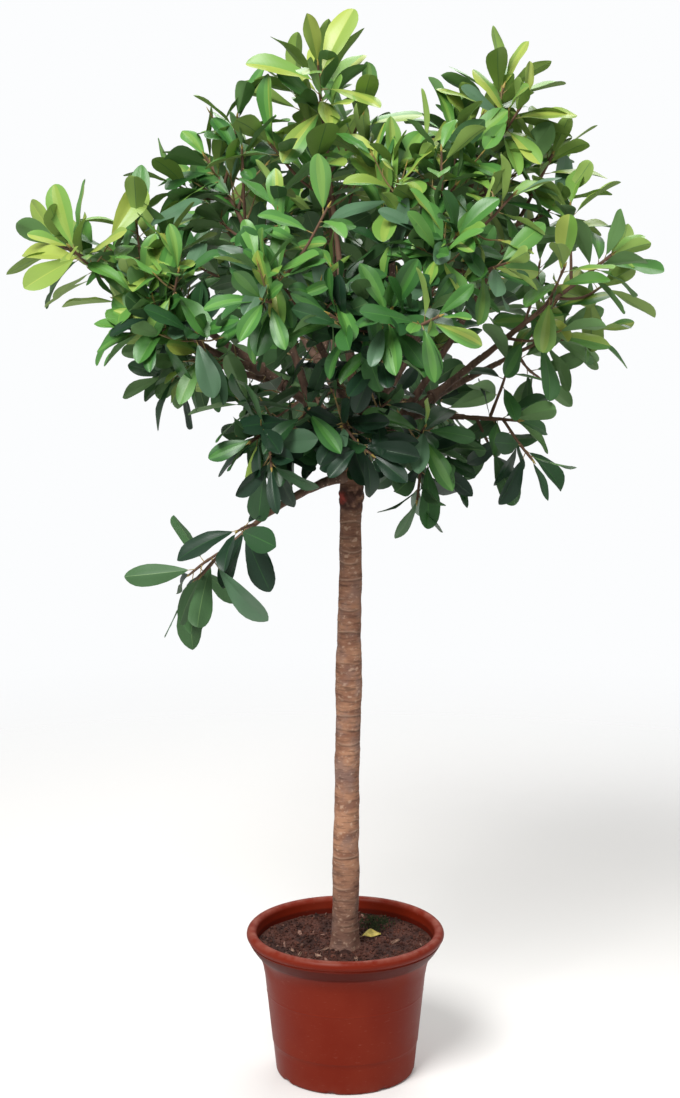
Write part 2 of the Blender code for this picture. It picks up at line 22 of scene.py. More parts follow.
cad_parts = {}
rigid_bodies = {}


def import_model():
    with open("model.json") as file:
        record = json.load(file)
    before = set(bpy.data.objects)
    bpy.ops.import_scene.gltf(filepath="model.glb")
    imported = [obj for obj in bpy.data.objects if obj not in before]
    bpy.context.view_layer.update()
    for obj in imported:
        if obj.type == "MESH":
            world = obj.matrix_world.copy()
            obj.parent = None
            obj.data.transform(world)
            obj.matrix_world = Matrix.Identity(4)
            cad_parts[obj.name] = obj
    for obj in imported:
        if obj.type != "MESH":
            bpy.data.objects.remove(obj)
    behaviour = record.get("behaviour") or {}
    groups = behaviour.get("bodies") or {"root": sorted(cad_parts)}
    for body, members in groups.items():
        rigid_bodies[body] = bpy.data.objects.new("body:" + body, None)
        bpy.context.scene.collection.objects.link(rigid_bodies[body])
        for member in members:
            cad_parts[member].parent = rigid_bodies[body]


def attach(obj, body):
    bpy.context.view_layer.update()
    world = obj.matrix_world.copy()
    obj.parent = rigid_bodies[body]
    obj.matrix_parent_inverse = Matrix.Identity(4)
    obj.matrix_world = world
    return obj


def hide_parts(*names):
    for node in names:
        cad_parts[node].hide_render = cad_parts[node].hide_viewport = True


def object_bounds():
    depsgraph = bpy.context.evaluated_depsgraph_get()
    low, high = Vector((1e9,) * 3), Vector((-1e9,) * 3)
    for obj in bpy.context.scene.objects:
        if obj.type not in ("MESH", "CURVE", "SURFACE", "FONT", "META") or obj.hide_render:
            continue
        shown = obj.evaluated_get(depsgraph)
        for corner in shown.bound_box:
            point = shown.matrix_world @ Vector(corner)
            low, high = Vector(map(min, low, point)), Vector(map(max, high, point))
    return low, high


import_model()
CAD_LOW, CAD_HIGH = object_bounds()

LOG = logging.getLogger("potted_ficus_tree")
BODY = "root"
GOLDEN_TURN = math.radians(137.5)


def linear(colour: str) -> tuple[float, float, float, float]:
    """Turns an sRGB hex value to linear red, green, blue and alpha.

    Args:
        colour: The colour as "#RRGGBB".

    Returns:
        The linear colour, opaque.
    """
    shares = [int(colour[i : i + 2], 16) / 255.0 for i in (1, 3, 5)]
    made = [c / 12.92 if c < 0.04045 else ((c + 0.055) / 1.055) ** 2.4 for c in shares]
    return (*made, 1.0)


def wire(node: bpy.types.Node, inputs: dict[str | int, object]) -> None:
    """Sets or links a node's inputs.

    Args:
        node: The node.
        inputs: For each socket's name or number, a value or another node's output.
    """
    for socket, value in inputs.items():
        if isinstance(value, bpy.types.NodeSocket):
            node.id_data.links.new(value, node.inputs[socket])
        else:
            node.inputs[socket].default_value = value


def add_node(
    tree: bpy.types.NodeTree, kind: str, inputs: dict[str | int, object], **settings: object
) -> bpy.types.Node:
    """Adds a node with its settings, and sets or links its inputs.

    Args:
        tree: The node tree that gets the node.
        kind: The node's type name.
        inputs: For each socket's name or number, a value or another node's output.
        settings: The node's own properties.

    Returns:
        The new node.
    """
    made = tree.nodes.new(kind)
    for name, value in settings.items():
        setattr(made, name, value)
    wire(made, inputs)
    return made


def new_material(name: str, roughness: float, ior: float) -> tuple[bpy.types.Material, bpy.types.Node]:
    """Starts a material with one Principled shader.

    Args:
        name: The material's name.
        roughness: The surface's roughness.
        ior: The refractive index of its outer layer.

    Returns:
        The material and its shader node.
    """
    made = bpy.data.materials.new(name)
    made.use_nodes = True
    shader = made.node_tree.nodes["Principled BSDF"]
    wire(shader, {"Roughness": roughness, "IOR": ior})
    return made, shader


def speckle(
    tree: bpy.types.NodeTree, size: float, stretch: Sequence[float] = (1.0, 1.0, 1.0), detail: float = 3.0
) -> bpy.types.NodeSocket:
    """Noise in the object's own space, whose lumps measure a size in metres.

    Args:
        tree: The node tree.
        size: The size of a lump.
        stretch: How much finer the noise is along each axis.
        detail: The number of finer layers.

    Returns:
        The socket of the noise, about 0.5 on the whole.
    """
    place = add_node(tree, "ShaderNodeTexCoord", {}).outputs["Object"]
    scaled = add_node(tree, "ShaderNodeMapping", {"Vector": place, "Scale": tuple(stretch)}).outputs[0]
    inputs = {"Vector": scaled, "Scale": 1.0 / size, "Detail": detail}
    return add_node(tree, "ShaderNodeTexNoise", inputs).outputs[0]


@dataclass(frozen=True)
class Layer:
    """A colour over the one below: in patches, between heights, or where the mesh marks it.

    The patches are noise with lumps of a size, cut off softly between two levels. Each edge is a
    height where the colour starts and one where it is full. A mark is an attribute of the mesh.
    """

    colour: str
    strength: float = 1.0
    size: float = 0.0
    levels: tuple[float, float] = (0.0, 1.0)
    stretch: tuple[float, float, float] = (1.0, 1.0, 1.0)
    detail: float = 3.0
    edges: tuple[tuple[float, float], ...] = ()
    mark: str = ""

    def noise(self, tree: bpy.types.NodeTree) -> bpy.types.NodeSocket:
        """The noise that its patches are cut from."""
        return speckle(tree, self.size, self.stretch, self.detail)

    def lay(self, tree: bpy.types.NodeTree, under: object) -> bpy.types.NodeSocket:
        """Lays the colour.

        Args:
            tree: The node tree.
            under: The colour below, as a socket or a linear colour.

        Returns:
            The socket of the mixed colour.
        """
        limits = [(self.noise(tree), *self.levels, "SMOOTHSTEP")] if self.size else []
        for start, full in self.edges:
            place = add_node(tree, "ShaderNodeTexCoord", {}).outputs["Object"]
            height = add_node(tree, "ShaderNodeSeparateXYZ", {0: place}).outputs[2]
            limits.append((height, start, full, "SMOOTHSTEP"))
        if self.mark:
            marked = add_node(tree, "ShaderNodeAttribute", {}, attribute_name=self.mark)
            limits.append((marked.outputs["Fac"], 0.0, 1.0, "LINEAR"))
        cover: object = self.strength
        for value, low, high, curve in limits:
            inputs = {0: value, 1: low, 2: high, 4: cover}
            cover = add_node(tree, "ShaderNodeMapRange", inputs, interpolation_type=curve).outputs[0]
        inputs = {0: cover, 6: under, 7: linear(self.colour)}
        return add_node(tree, "ShaderNodeMix", inputs, data_type="RGBA").outputs[2]


def lay_all(tree: bpy.types.NodeTree, base: str, layers: Iterable[Layer]) -> bpy.types.NodeSocket:
    """Lays layers of colour over a base colour, in order.

    Args:
        tree: The node tree.
        base: The colour at the bottom, as "#RRGGBB".
        layers: The layers, the lowest first.

    Returns:
        The socket of the colour that is seen.
    """
    colour: object = linear(base)
    for layer in layers:
        colour = layer.lay(tree, colour)
    return colour


class LeafShade(Enum):
    """Upper-side greens of a leaf: painted shade deep inside, painted light and new growth outside."""

    BOTTLE = "#183220"
    DEEP = "#234824"
    LEAF = "#315E2A"
    MEADOW = "#427331"
    FRESH = "#56863B"
    SAP = "#6B923F"
    MOSS = "#809943"
    LIME = "#96A64A"
    # A grey-green that stands in for the sky's reflection on the wax: a painted sheen.
    PAINTED_SHEEN = "#4F6F52"


class UnderShade(Enum):
    """The greens of a leaf's underside: in the shade, in the open, and with light behind it."""

    SHADED = "#42643C"
    OPEN = "#628650"
    GLOWING = "#86A252"


@dataclass(frozen=True)
class WaxyLeaf:
    """The upper side of a living leaf: a wax film over green tissue gives broad soft highlights."""

    shade: LeafShade
    roughness: float = 0.40
    ior: float = 1.45
    vein_pairs: float = 12.0
    vein_lean: float = 0.40
    vein_levels: tuple[float, float] = (0.70, 1.0)
    vein_depth: float = 0.00004

    def make(self) -> bpy.types.Material:
        """Makes the material, with its side veins as a slight relief.

        Returns:
            The material.
        """
        made, shader = new_material(f"waxy_leaf_{self.shade.name.lower()}", self.roughness, self.ior)
        tree = made.node_tree
        place = add_node(tree, "ShaderNodeUVMap", {}, uv_map="leaf").outputs[0]
        run, wave, _ = add_node(tree, "ShaderNodeSeparateXYZ", {0: place}).outputs
        steps = (
            ("SUBTRACT", {1: 0.5}),
            ("ABSOLUTE", {}),
            ("MULTIPLY_ADD", {1: -self.vein_lean, 2: run}),
            ("MULTIPLY", {1: math.tau * self.vein_pairs}),
            ("SINE", {}),
        )
        for operation, others in steps:
            wave = add_node(tree, "ShaderNodeMath", {0: wave, **others}, operation=operation).outputs[0]
        inputs = {0: wave, 1: self.vein_levels[0], 2: self.vein_levels[1]}
        veins = add_node(tree, "ShaderNodeMapRange", inputs, interpolation_type="SMOOTHSTEP").outputs[0]
        bump = add_node(tree, "ShaderNodeBump", {"Height": veins, "Distance": -self.vein_depth})
        wire(shader, {"Base Color": linear(self.shade.value), "Normal": bump.outputs[0]})
        return made


@dataclass(frozen=True)
class LeafTissue:
    """The matt parts of a spray: undersides, midribs, stalks, twigs and buds, with a fine skin."""

    name: str
    colour: str
    roughness: float
    grain: float = 0.0025
    depth: float = 0.00008
    ior: float = 1.42

    def make(self) -> bpy.types.Material:
        """Makes the material.

        Returns:
            The material.
        """
        made, shader = new_material(self.name, self.roughness, self.ior)
        inputs = {"Height": speckle(made.node_tree, self.grain), "Distance": self.depth}
        bump = add_node(made.node_tree, "ShaderNodeBump", inputs)
        wire(shader, {"Base Color": linear(self.colour), "Normal": bump.outputs[0]})
        return made


@dataclass(frozen=True)
class YoungBark:
    """Thin bark of boughs: smooth, with pale corky pores and long faint streaks."""

    name: str = "bough_bark"
    colour: str = "#6B5243"
    streak: Layer = Layer("#4B382D", size=0.010, levels=(0.35, 0.70), stretch=(1.0, 1.0, 0.25))
    pore: str = "#92796A"
    pore_spacing: float = 0.007
    pore_edge: tuple[float, float] = (0.24, 0.12)
    pore_height: float = 0.0004
    roughness: float = 0.72
    ior: float = 1.4

    def make(self) -> bpy.types.Material:
        """Makes the material.

        Returns:
            The material.
        """
        made, shader = new_material(self.name, self.roughness, self.ior)
        tree = made.node_tree
        colour = self.streak.lay(tree, linear(self.colour))
        place = add_node(tree, "ShaderNodeTexCoord", {}).outputs["Object"]
        cells = add_node(tree, "ShaderNodeTexVoronoi", {"Vector": place, "Scale": 1.0 / self.pore_spacing})
        inputs = {0: cells.outputs["Distance"], 1: self.pore_edge[0], 2: self.pore_edge[1]}
        pores = add_node(tree, "ShaderNodeMapRange", inputs, interpolation_type="SMOOTHSTEP").outputs[0]
        inputs = {0: pores, 6: colour, 7: linear(self.pore)}
        colour = add_node(tree, "ShaderNodeMix", inputs, data_type="RGBA").outputs[2]
        bump = add_node(tree, "ShaderNodeBump", {"Height": pores, "Distance": self.pore_height})
        wire(shader, {"Base Color": colour, "Normal": bump.outputs[0]})
        return made


@dataclass(frozen=True)
class OldBark:
    """The trunk's bark: tan cork with pale rings of leaf scars, dark cracks and a darker foot.

    The layers are, from below: ruddy bands, grey clouds, the darker foot and top, pale corky
    grain, fine wrinkles, leaf scars, cracks, the dark collar under the crown and the red wound.
    """

    name: str = "cork_bark"
    tan: str = "#A0755A"
    light: ClassVar[str] = "#C2A48C"
    dark: ClassVar[str] = "#40291F"
    grain: Layer = Layer(light, 0.35, 0.0042, (0.55, 0.72), (0.6, 0.6, 1.2), 5.0)
    layers: tuple[Layer, ...] = (
        Layer("#7C5440", 1.0, 0.020, (0.36, 0.66), (0.55, 0.55, 1.5), 6.0),
        Layer("#75605A", 0.60, 0.034, (0.46, 0.66), detail=6.0),
        Layer("#664B42", 0.65, edges=((0.40, 0.24),)),
        Layer("#6E4C3C", 0.55, edges=((0.70, 0.975),)),
        grain,
        Layer(dark, 0.45, 0.0080, (0.50, 0.34), (0.35, 0.35, 2.2), 5.0),
        Layer(light, mark="scar"),
        Layer(dark, mark="crack"),
        Layer("#43271E", 1.0, 0.012, (0.30, 0.55), edges=((0.975, 0.993), (1.040, 1.018))),
        Layer("#93362C", mark="wound"),
    )
    grain_height: float = 0.0006
    roughness: float = 0.84
    ior: float = 1.4

    def make(self) -> bpy.types.Material:
        """Makes the material. The mesh says where its scars and cracks are.

        Returns:
            The material.
        """
        made, shader = new_material(self.name, self.roughness, self.ior)
        tree = made.node_tree
        inputs = {"Height": self.grain.noise(tree), "Distance": self.grain_height}
        bump = add_node(tree, "ShaderNodeBump", inputs)
        colour = lay_all(tree, self.tan, self.layers)
        wire(shader, {"Base Color": colour, "Normal": bump.outputs[0]})
        return made


@dataclass(frozen=True)
class MouldedPolypropylene:
    """Injection-moulded pot plastic: satin, finely grained, dusty, with painted shade under the rim.

    The layers are, from below: worn clouds, scuffs, painted shade in the cove, and dust on rim and
    foot; on the rim's top the dust is also a painted highlight.
    The worn clouds are duller too, between the two values of the roughness.
    """

    name: str = "moulded_polypropylene"
    colour: str = "#6C1D0C"
    dust_and_highlight: ClassVar[str] = "#925C4E"
    clouds: Layer = Layer("#772A19", 0.45, 0.090, (0.40, 0.70))
    layers: tuple[Layer, ...] = (
        clouds,
        Layer(dust_and_highlight, 0.35, 0.010, (0.62, 0.80), (1.0, 1.0, 4.0), 5.0),
        # Painted shade: a dark band on the cove and collar under the rim, where the rim's shade falls.
        Layer("#3E0E07", 0.75, edges=((0.2105, 0.2165), (0.2375, 0.2325))),
        # Dust on the foot; on the rim's top this pale layer is also a painted highlight.
        Layer(dust_and_highlight, 1.0, 0.020, (0.30, 0.70), detail=5.0, mark="dust_and_highlight"),
    )
    roughness: tuple[float, float] = (0.40, 0.58)
    gloss: float = 0.10
    grain: float = 0.0008
    grain_height: float = 0.00008
    ior: float = 1.49

    def make(self) -> bpy.types.Material:
        """Makes the material. Grain of 0.3 mm is drawn as 0.8 mm, so that it shows.

        Returns:
            The material.
        """
        made, shader = new_material(self.name, self.roughness[0], self.ior)
        tree = made.node_tree
        sockets = (self.clouds.noise(tree), *self.clouds.levels, *self.roughness)
        inputs = dict(enumerate(sockets))
        dull = add_node(tree, "ShaderNodeMapRange", inputs, interpolation_type="SMOOTHSTEP").outputs[0]
        inputs = {"Height": speckle(tree, self.grain), "Distance": self.grain_height}
        bump = add_node(tree, "ShaderNodeBump", inputs)
        colour = lay_all(tree, self.colour, self.layers)
        wire(shader, {"Base Color": colour, "Roughness": dull, "Normal": bump.outputs[0]})
        wire(shader, {"Specular IOR Level": self.gloss})
        return made


@dataclass(frozen=True)
class Crumbly:
    """A loose stuff such as peat, bark chips, husk or moss: matt, two colours, some damp patches."""

    name: str
    colour: str
    second: str
    grain: float
    depth: float
    roughness: float = 0.95
    damp: str = ""
    levels: tuple[float, float] = (0.36, 0.66)
    damp_strength: float = 0.75
    damp_size: float = 0.034
    damp_levels: tuple[float, float] = (0.44, 0.60)
    ior: float = 1.4

    def make(self) -> bpy.types.Material:
        """Makes the material.

        Returns:
            The material.
        """
        made, shader = new_material(self.name, self.roughness, self.ior)
        tree = made.node_tree
        layers = [Layer(self.second, 1.0, self.grain, self.levels, detail=5.0)]
        if self.damp:
            layers.append(Layer(self.damp, self.damp_strength, self.damp_size, self.damp_levels, detail=4.0))
        bump = add_node(tree, "ShaderNodeBump", {"Height": layers[0].noise(tree), "Distance": self.depth})
        colour = lay_all(tree, self.colour, layers)
        wire(shader, {"Base Color": colour, "Normal": bump.outputs[0]})
        return made


@dataclass(frozen=True)
class Branch:
    """A branch: its parent limb and place on it, where it ends, and how it is leaved.

    The last two say how many finer twigs each of its shoots has, and the seed of their chance.
    """

    name: str
    parent: str
    share: float
    azimuth: float
    reach: float
    height: float
    arch: float
    shoots: int
    leaves: int
    weight: float
    vigour: float
    seed: int
    twigs: int
    twig_seed: int


BRANCHES = (
    Branch("top_left", "trunk", 1.00, 150, 0.050, 1.680, 0.00, 5, 11, 0.00, 1.20, 40, 1, 15),
    Branch("top_right", "trunk", 0.955, 11, 0.262, 1.672, -0.05, 5, 11, 0.00, 1.20, 28, 2, 19),
    Branch("right_arm", "trunk", 0.915, 356, 0.430, 1.405, 0.00, 5, 9, 0.05, 1.15, 13, 0, 0),
    Branch("left_arm", "trunk", 0.94, 180, 0.465, 1.420, 0.02, 5, 9, 0.05, 1.20, 15, 1, 20),
    Branch("front_left", "trunk", 0.955, 249, 0.333, 1.398, 0.03, 5, 10, 0.10, 0.95, 67, 2, 18),
    Branch("back_left", "trunk", 0.965, 120, 0.415, 1.433, 0.01, 5, 10, 0.10, 1.05, 40, 2, 16),
    Branch("back_right", "trunk", 0.91, 56, 0.434, 1.415, 0.02, 5, 10, 0.10, 1.05, 1, 2, 21),
    Branch("centre_front", "trunk", 0.925, 282, 0.327, 1.337, 0.02, 5, 10, 0.10, 0.95, 98, 2, 19),
    Branch("low_right", "trunk", 0.88, 322, 0.180, 1.075, 0.04, 3, 8, 0.45, 1.00, 46, 1, 12),
    Branch("droop", "trunk", 0.885, 202, 0.265, 0.880, 0.03, 2, 4, 0.55, 1.35, 56, 0, 0),
    Branch("low_left", "trunk", 0.915, 222, 0.204, 1.114, 0.04, 3, 8, 0.35, 1.05, 50, 2, 18),
    Branch("back_low", "trunk", 0.89, 109, 0.297, 1.154, 0.04, 3, 8, 0.30, 1.00, 59, 2, 9),
    Branch("low_front", "centre_front", 0.20, 268, 0.185, 1.145, 0.00, 3, 8, 0.20, 0.90, 77, 2, 2),
    Branch("upper_left", "left_arm", 0.17, 165, 0.238, 1.560, 0.04, 5, 10, 0.00, 1.05, 104, 2, 6),
    Branch("left_low", "left_arm", 0.34, 201, 0.331, 1.338, -0.02, 4, 9, 0.15, 1.00, 31, 2, 13),
    Branch("left_hang", "left_arm", 0.26, 157, 0.320, 1.236, 0.00, 3, 8, 0.25, 1.05, 36, 1, 17),
    Branch("upper_mid", "top_right", 0.18, 301, 0.140, 1.548, 0.03, 4, 10, 0.00, 1.05, 114, 2, 0),
    Branch("front_right", "top_right", 0.30, 305, 0.294, 1.444, 0.01, 5, 10, 0.10, 0.95, 80, 2, 5),
    Branch("upper_right", "right_arm", 0.16, 10, 0.345, 1.565, -0.02, 4, 9, 0.00, 1.10, 115, 0, 20),
    Branch("right", "right_arm", 0.30, 20, 0.390, 1.270, 0.00, 4, 9, 0.20, 1.00, 49, 0, 11),
    Branch("right_low", "right_arm", 0.22, 351, 0.285, 1.138, 0.00, 3, 8, 0.35, 1.00, 89, 0, 22),
    Branch("back_high", "back_left", 0.18, 97, 0.222, 1.548, 0.03, 4, 10, 0.00, 1.05, 110, 2, 19),
    Branch("back", "back_left", 0.30, 89, 0.430, 1.394, 0.00, 5, 10, 0.10, 1.05, 2, 2, 7),
    Branch("back_low_right", "back_right", 0.22, 62, 0.300, 1.150, 0.00, 3, 8, 0.30, 1.00, 36, 2, 1),
)

# The trunk's centreline and radius: height, sideways lean, radius
TRUNK = (
    (0.2193, 0.0000, 0.0262),
    (0.2320, 0.0000, 0.0240),
    (0.2600, 0.0004, 0.0230),
    (0.3400, 0.0010, 0.0224),
    (0.4300, 0.0018, 0.0221),
    (0.5200, 0.0032, 0.0215),
    (0.5900, 0.0044, 0.0212),
    (0.6450, 0.0052, 0.0220),
    (0.7300, 0.0062, 0.0210),
    (0.8300, 0.0078, 0.0196),
    (0.9300, 0.0090, 0.0190),
    (0.9850, 0.0092, 0.0192),
    (1.0060, 0.0094, 0.0216),
    (1.0280, 0.0104, 0.0198),
    (1.0700, 0.0160, 0.0190),
    (1.1100, 0.0228, 0.0178),
    (1.1500, 0.0280, 0.0150),
)


@dataclass
class Leaf:
    """A leaf: where its stalk starts, its aim and facing, its length, bend and age in its spray."""

    base: Vector
    aim: Vector
    face: Vector
    length: float
    bend: float
    age: float

    def line(self, share: float) -> tuple[Vector, Vector]:
        """The point and the facing at a share of the midrib.

        Args:
            share: The share of the leaf's length.

        Returns:
            The point, and the direction that the upper side faces there.
        """
        angle = self.bend * share
        reach = self.length / self.bend
        point = self.base + self.aim * (reach * math.sin(angle)) - self.face * (reach * (1 - math.cos(angle)))
        return point, self.face * math.cos(angle) + self.aim * math.sin(angle)


@dataclass
class Shoot:
    """A shoot: points along it with its radius at each, and its leaves."""

    points: list[Vector]
    radii: list[float]
    leaves: list[Leaf]


def along(points: Sequence[Vector], share: float) -> tuple[Vector, Vector]:
    """The point and the direction at a share of a path's length.

    Args:
        points: The path.
        share: The share of its length.

    Returns:
        The point and the direction.
    """
    left = share * sum((b - a).length for a, b in zip(points, points[1:]))
    for a, b in zip(points, points[1:]):
        length = (b - a).length
        if left <= length:
            break
        left -= length
    way = (b - a).normalized()
    return a + way * min(left, length), way


class Room:
    """Points with a radius, which answers how near a point is to them."""

    def __init__(self, rows: Sequence[tuple[Vector, float]]) -> None:
        """Builds the search tree.

        Args:
            rows: Points, each with a radius.
        """
        self.rows = rows
        self.reach = max(radius for _, radius in rows)
        self.tree = KDTree(len(rows))
        for i, row in enumerate(rows):
            self.tree.insert(row[0], i)
        self.tree.balance()

    def touches(self, point: Vector, room: float) -> bool:
        """Whether a point is nearer to something here than that room."""
        near = self.tree.find_range(point, self.reach + room)
        return any(far < self.rows[i][1] + room for _, i, far in near)

    def distance(self, point: Vector) -> float:
        """The distance to the nearest point here."""
        return self.tree.find(point)[2]


@dataclass(frozen=True)
class Habit:
    """How a ficus grows: the sizes and angles of the rule that places limbs, shoots and leaves."""

    path_steps: int = 8
    bough_steps: int = 4
    first_order_radii: tuple[float, float] = (0.0098, 0.0056)
    second_order_radii: tuple[float, float] = (0.0072, 0.0046)
    bough_taper: float = 0.7
    gap: float = 0.0003
    stem_seat: float = 0.0050
    stem_tip_radius: float = 0.0026
    shoot_steps: int = 2
    shoot_radii: tuple[float, float] = (0.0028, 0.0020)
    shoot_length: float = 0.125
    first_shoot: float = 0.08
    shoot_stretch: float = 0.72
    shoot_tilt: tuple[float, float] = (48.0, 72.0)
    shoot_variety: tuple[float, float] = (0.70, 1.15)
    share_scatter: float = 0.05
    shoot_turn_scatter: float = 0.3
    outer_shortening: float = 0.25
    light_pull: float = 0.45
    leaf_length: float = 0.102
    leaf_width: float = 0.34
    leaf_shoulder: float = 0.64
    leaf_shares: tuple[float, ...] = (0.32, 0.48, 0.82, 1.0)
    reach_shares: tuple[float, ...] = (0.3, leaf_shoulder, 1.0)
    leaf_seat: float = 0.0030
    leaf_bend: tuple[float, float] = (8.0, 38.0)
    leaf_roll: float = 32.0
    face_inward: float = 0.8
    face_upward: tuple[float, float] = (0.35, 0.84)
    slant: tuple[float, float, float] = (0.31, 0.93, 0.17)
    rosette_start: float = 0.0020
    rosette_depth: float = 0.0420
    rosette_leaves: tuple[int, ...] = (5, 6, 7)
    young_spread: float = 16.0
    old_spread: float = 58.0
    hanging_spread: float = 40.0
    spread_power: float = 0.8
    spread_scatter: float = 10.0
    turn_scatter: float = 0.25
    young_size: float = 0.80
    size_scatter: tuple[float, float] = (0.82, 1.12)
    shoot_vigour: float = 0.95
    lone_leaf_back: float = 0.65
    lone_leaf_spread: tuple[float, float] = (60.0, 90.0)
    lone_leaf_size: tuple[float, float] = (0.80, 1.05)
    limb_room: float = 0.0025
    shoot_room: float = 0.0220
    sample_spacing: float = 0.0060
    twig_places: tuple[float, ...] = (0.34, 0.62)
    stem_twig_places: tuple[float, ...] = (0.30, 0.46, 0.62, 0.78)
    bough_twig_places: tuple[float, ...] = (0.45, 0.62, 0.79, 0.95)
    twig_length: tuple[float, float] = (0.035, 0.062)
    twig_radii: tuple[float, float] = (0.0017, 0.0012)
    twig_leaves: tuple[int, ...] = (4, 5)
    twig_vigour: float = 0.95
    twig_reach: float = 0.030
    inner_reach: float = 0.065
    leaf_clearance: float = 0.012
    box_slack: float = 0.004

    def around(self, axis: Vector, turn: float) -> Vector:
        """A direction square to an axis, at that turn round it."""
        return Quaternion(axis, turn) @ axis.cross(Vector(self.slant)).normalized()

    def leaf_on(
        self,
        rng: random.Random,
        points: Sequence[Vector],
        back: float,
        turn: float,
        spread: float,
        size: float,
        weight: float,
        age: float,
    ) -> Leaf:
        """Grows a leaf at a distance back from a shoot's tip.

        Args:
            rng: The source of chance.
            points: The shoot's path.
            back: The distance back from its tip.
            turn: The turn round the shoot.
            spread: The angle to the shoot's axis, in radians.
            size: The leaf's size beside the common one.
            weight: How far gravity pulls it down.
            age: Its age in the spray, from 0 to 1.

        Returns:
            The leaf.
        """
        length = sum((b - a).length for a, b in zip(points, points[1:]))
        base, axis = along(points, 1.0 - back / length)
        side = self.around(axis, turn)
        aim = axis * math.cos(spread) + side * math.sin(spread)
        aim.z -= weight * math.sin(spread)
        aim.normalize()
        face = (axis - aim * axis.dot(aim)).normalized()
        face = face * self.face_inward + Vector((0.0, 0.0, rng.uniform(*self.face_upward)))
        face = (face - aim * face.dot(aim)).normalized()
        roll = math.radians(rng.uniform(-self.leaf_roll, self.leaf_roll))
        face = Quaternion(aim, roll) @ face
        bend = math.radians(rng.uniform(*self.leaf_bend))
        return Leaf(base - axis * self.leaf_seat, aim, face, self.leaf_length * size, bend, age)

    def rosette(
        self, rng: random.Random, points: Sequence[Vector], count: int, weight: float, vigour: float
    ) -> list[Leaf]:
        """Grows leaves in a close spiral round a shoot's end, the youngest upright at its tip.

        Args:
            rng: The source of chance.
            points: The shoot's path.
            count: The number of leaves.
            weight: How far gravity pulls them down.
            vigour: Their size beside the common one.

        Returns:
            The leaves.
        """
        leaves = []
        start = rng.uniform(0.0, math.tau)
        for k in range(count):
            age = k / (count - 1)
            back = self.rosette_start + self.rosette_depth * age
            turn = start + k * GOLDEN_TURN + rng.uniform(-self.turn_scatter, self.turn_scatter)
            opening = (self.old_spread + self.hanging_spread * weight) * age ** self.spread_power
            scatter = rng.uniform(-self.spread_scatter, self.spread_scatter)
            spread = math.radians(self.young_spread + opening + scatter)
            growth = self.young_size + (1.0 - self.young_size) * min(1.0, age * 4)
            size = vigour * growth * rng.uniform(*self.size_scatter)
            leaves.append(self.leaf_on(rng, points, back, turn, spread, size, weight, age))
        return leaves

    def limb_radii(self, branch: Branch) -> list[float]:
        """Radii at the points of a bough.

        Args:
            branch: The branch that it carries.

        Returns:
            The radii, from its root to its tip.
        """
        first = branch.parent == "trunk"
        thick, thin = self.first_order_radii if first else self.second_order_radii
        steps = self.bough_steps
        return [thick + (thin - thick) * (i / steps) ** self.bough_taper for i in range(steps + 1)]

    def stem_of(self, branch: Branch, path: list[Vector]) -> Shoot:
        """Grows the outer part of a branch, with the leaves round its tip.

        Args:
            branch: The branch.
            path: Its centreline.

        Returns:
            The stem of its mass.
        """
        rng = random.Random(branch.seed * 100)
        root = path[self.bough_steps]
        seat = (root - path[self.bough_steps - 1]).normalized()
        points = [root + seat * self.gap, root + seat * self.stem_seat] + path[self.bough_steps + 1 :]
        thick = self.limb_radii(branch)[-1]
        last = len(points) - 1
        radii = [thick + (self.stem_tip_radius - thick) * i / last for i in range(last + 1)]
        return Shoot(points, radii, self.rosette(rng, points, branch.leaves, branch.weight, branch.vigour))

    def side_shoot(self, branch: Branch, stem: Shoot, number: int) -> Shoot:
        """Grows a side shoot that curves up to the light and ends in a rosette.

        Args:
            branch: The branch.
            stem: The stem of its mass.
            number: The shoot's number, from 1.

        Returns:
            The side shoot.
        """
        rng = random.Random(branch.seed * 100 + number)
        share = self.first_shoot + self.shoot_stretch * (number - 0.5) / branch.shoots
        share += rng.uniform(-self.share_scatter, self.share_scatter)
        root, axis = along(stem.points, share)
        turn = branch.seed + number * GOLDEN_TURN
        turn += rng.uniform(-self.shoot_turn_scatter, self.shoot_turn_scatter)
        tilt = math.radians(rng.uniform(*self.shoot_tilt))
        length = self.shoot_length * rng.uniform(*self.shoot_variety)
        length *= 1.0 - self.outer_shortening * share
        points, radii = self.sprout(root, axis, turn, tilt, length, branch.weight, self.shoot_radii)
        count = rng.choice(self.rosette_leaves)
        leaves = self.rosette(rng, points, count, branch.weight, branch.vigour * self.shoot_vigour)
        turn = rng.uniform(0.0, math.tau)
        spread = math.radians(rng.uniform(*self.lone_leaf_spread))
        size = branch.vigour * rng.uniform(*self.lone_leaf_size)
        back = self.lone_leaf_back * length
        leaves.append(self.leaf_on(rng, points, back, turn, spread, size, branch.weight, 1.0))
        return Shoot(points, radii, leaves)

    def sprout(
        self,
        root: Vector,
        axis: Vector,
        turn: float,
        tilt: float,
        length: float,
        weight: float,
        ends: tuple[float, float],
    ) -> tuple[list[Vector], list[float]]:
        """Works out the path and the radii of a shoot that leaves a limb.

        Args:
            root: Where it leaves.
            axis: The limb's direction there.
            turn: The turn round the limb.
            tilt: The angle to the limb, in radians.
            length: The shoot's length.
            weight: How far gravity pulls it down.
            ends: The radii at its root and its tip.

        Returns:
            The points and the radii.
        """
        way = axis * math.cos(tilt) + self.around(axis, turn) * math.sin(tilt)
        rise = Vector((0.0, 0.0, (self.light_pull - weight) * length))
        shares = [i / self.shoot_steps for i in range(self.shoot_steps + 1)]
        points = [root + way * (length * t) + rise * (t * t) for t in shares]
        return points, [ends[0] + (ends[1] - ends[0]) * t for t in shares]

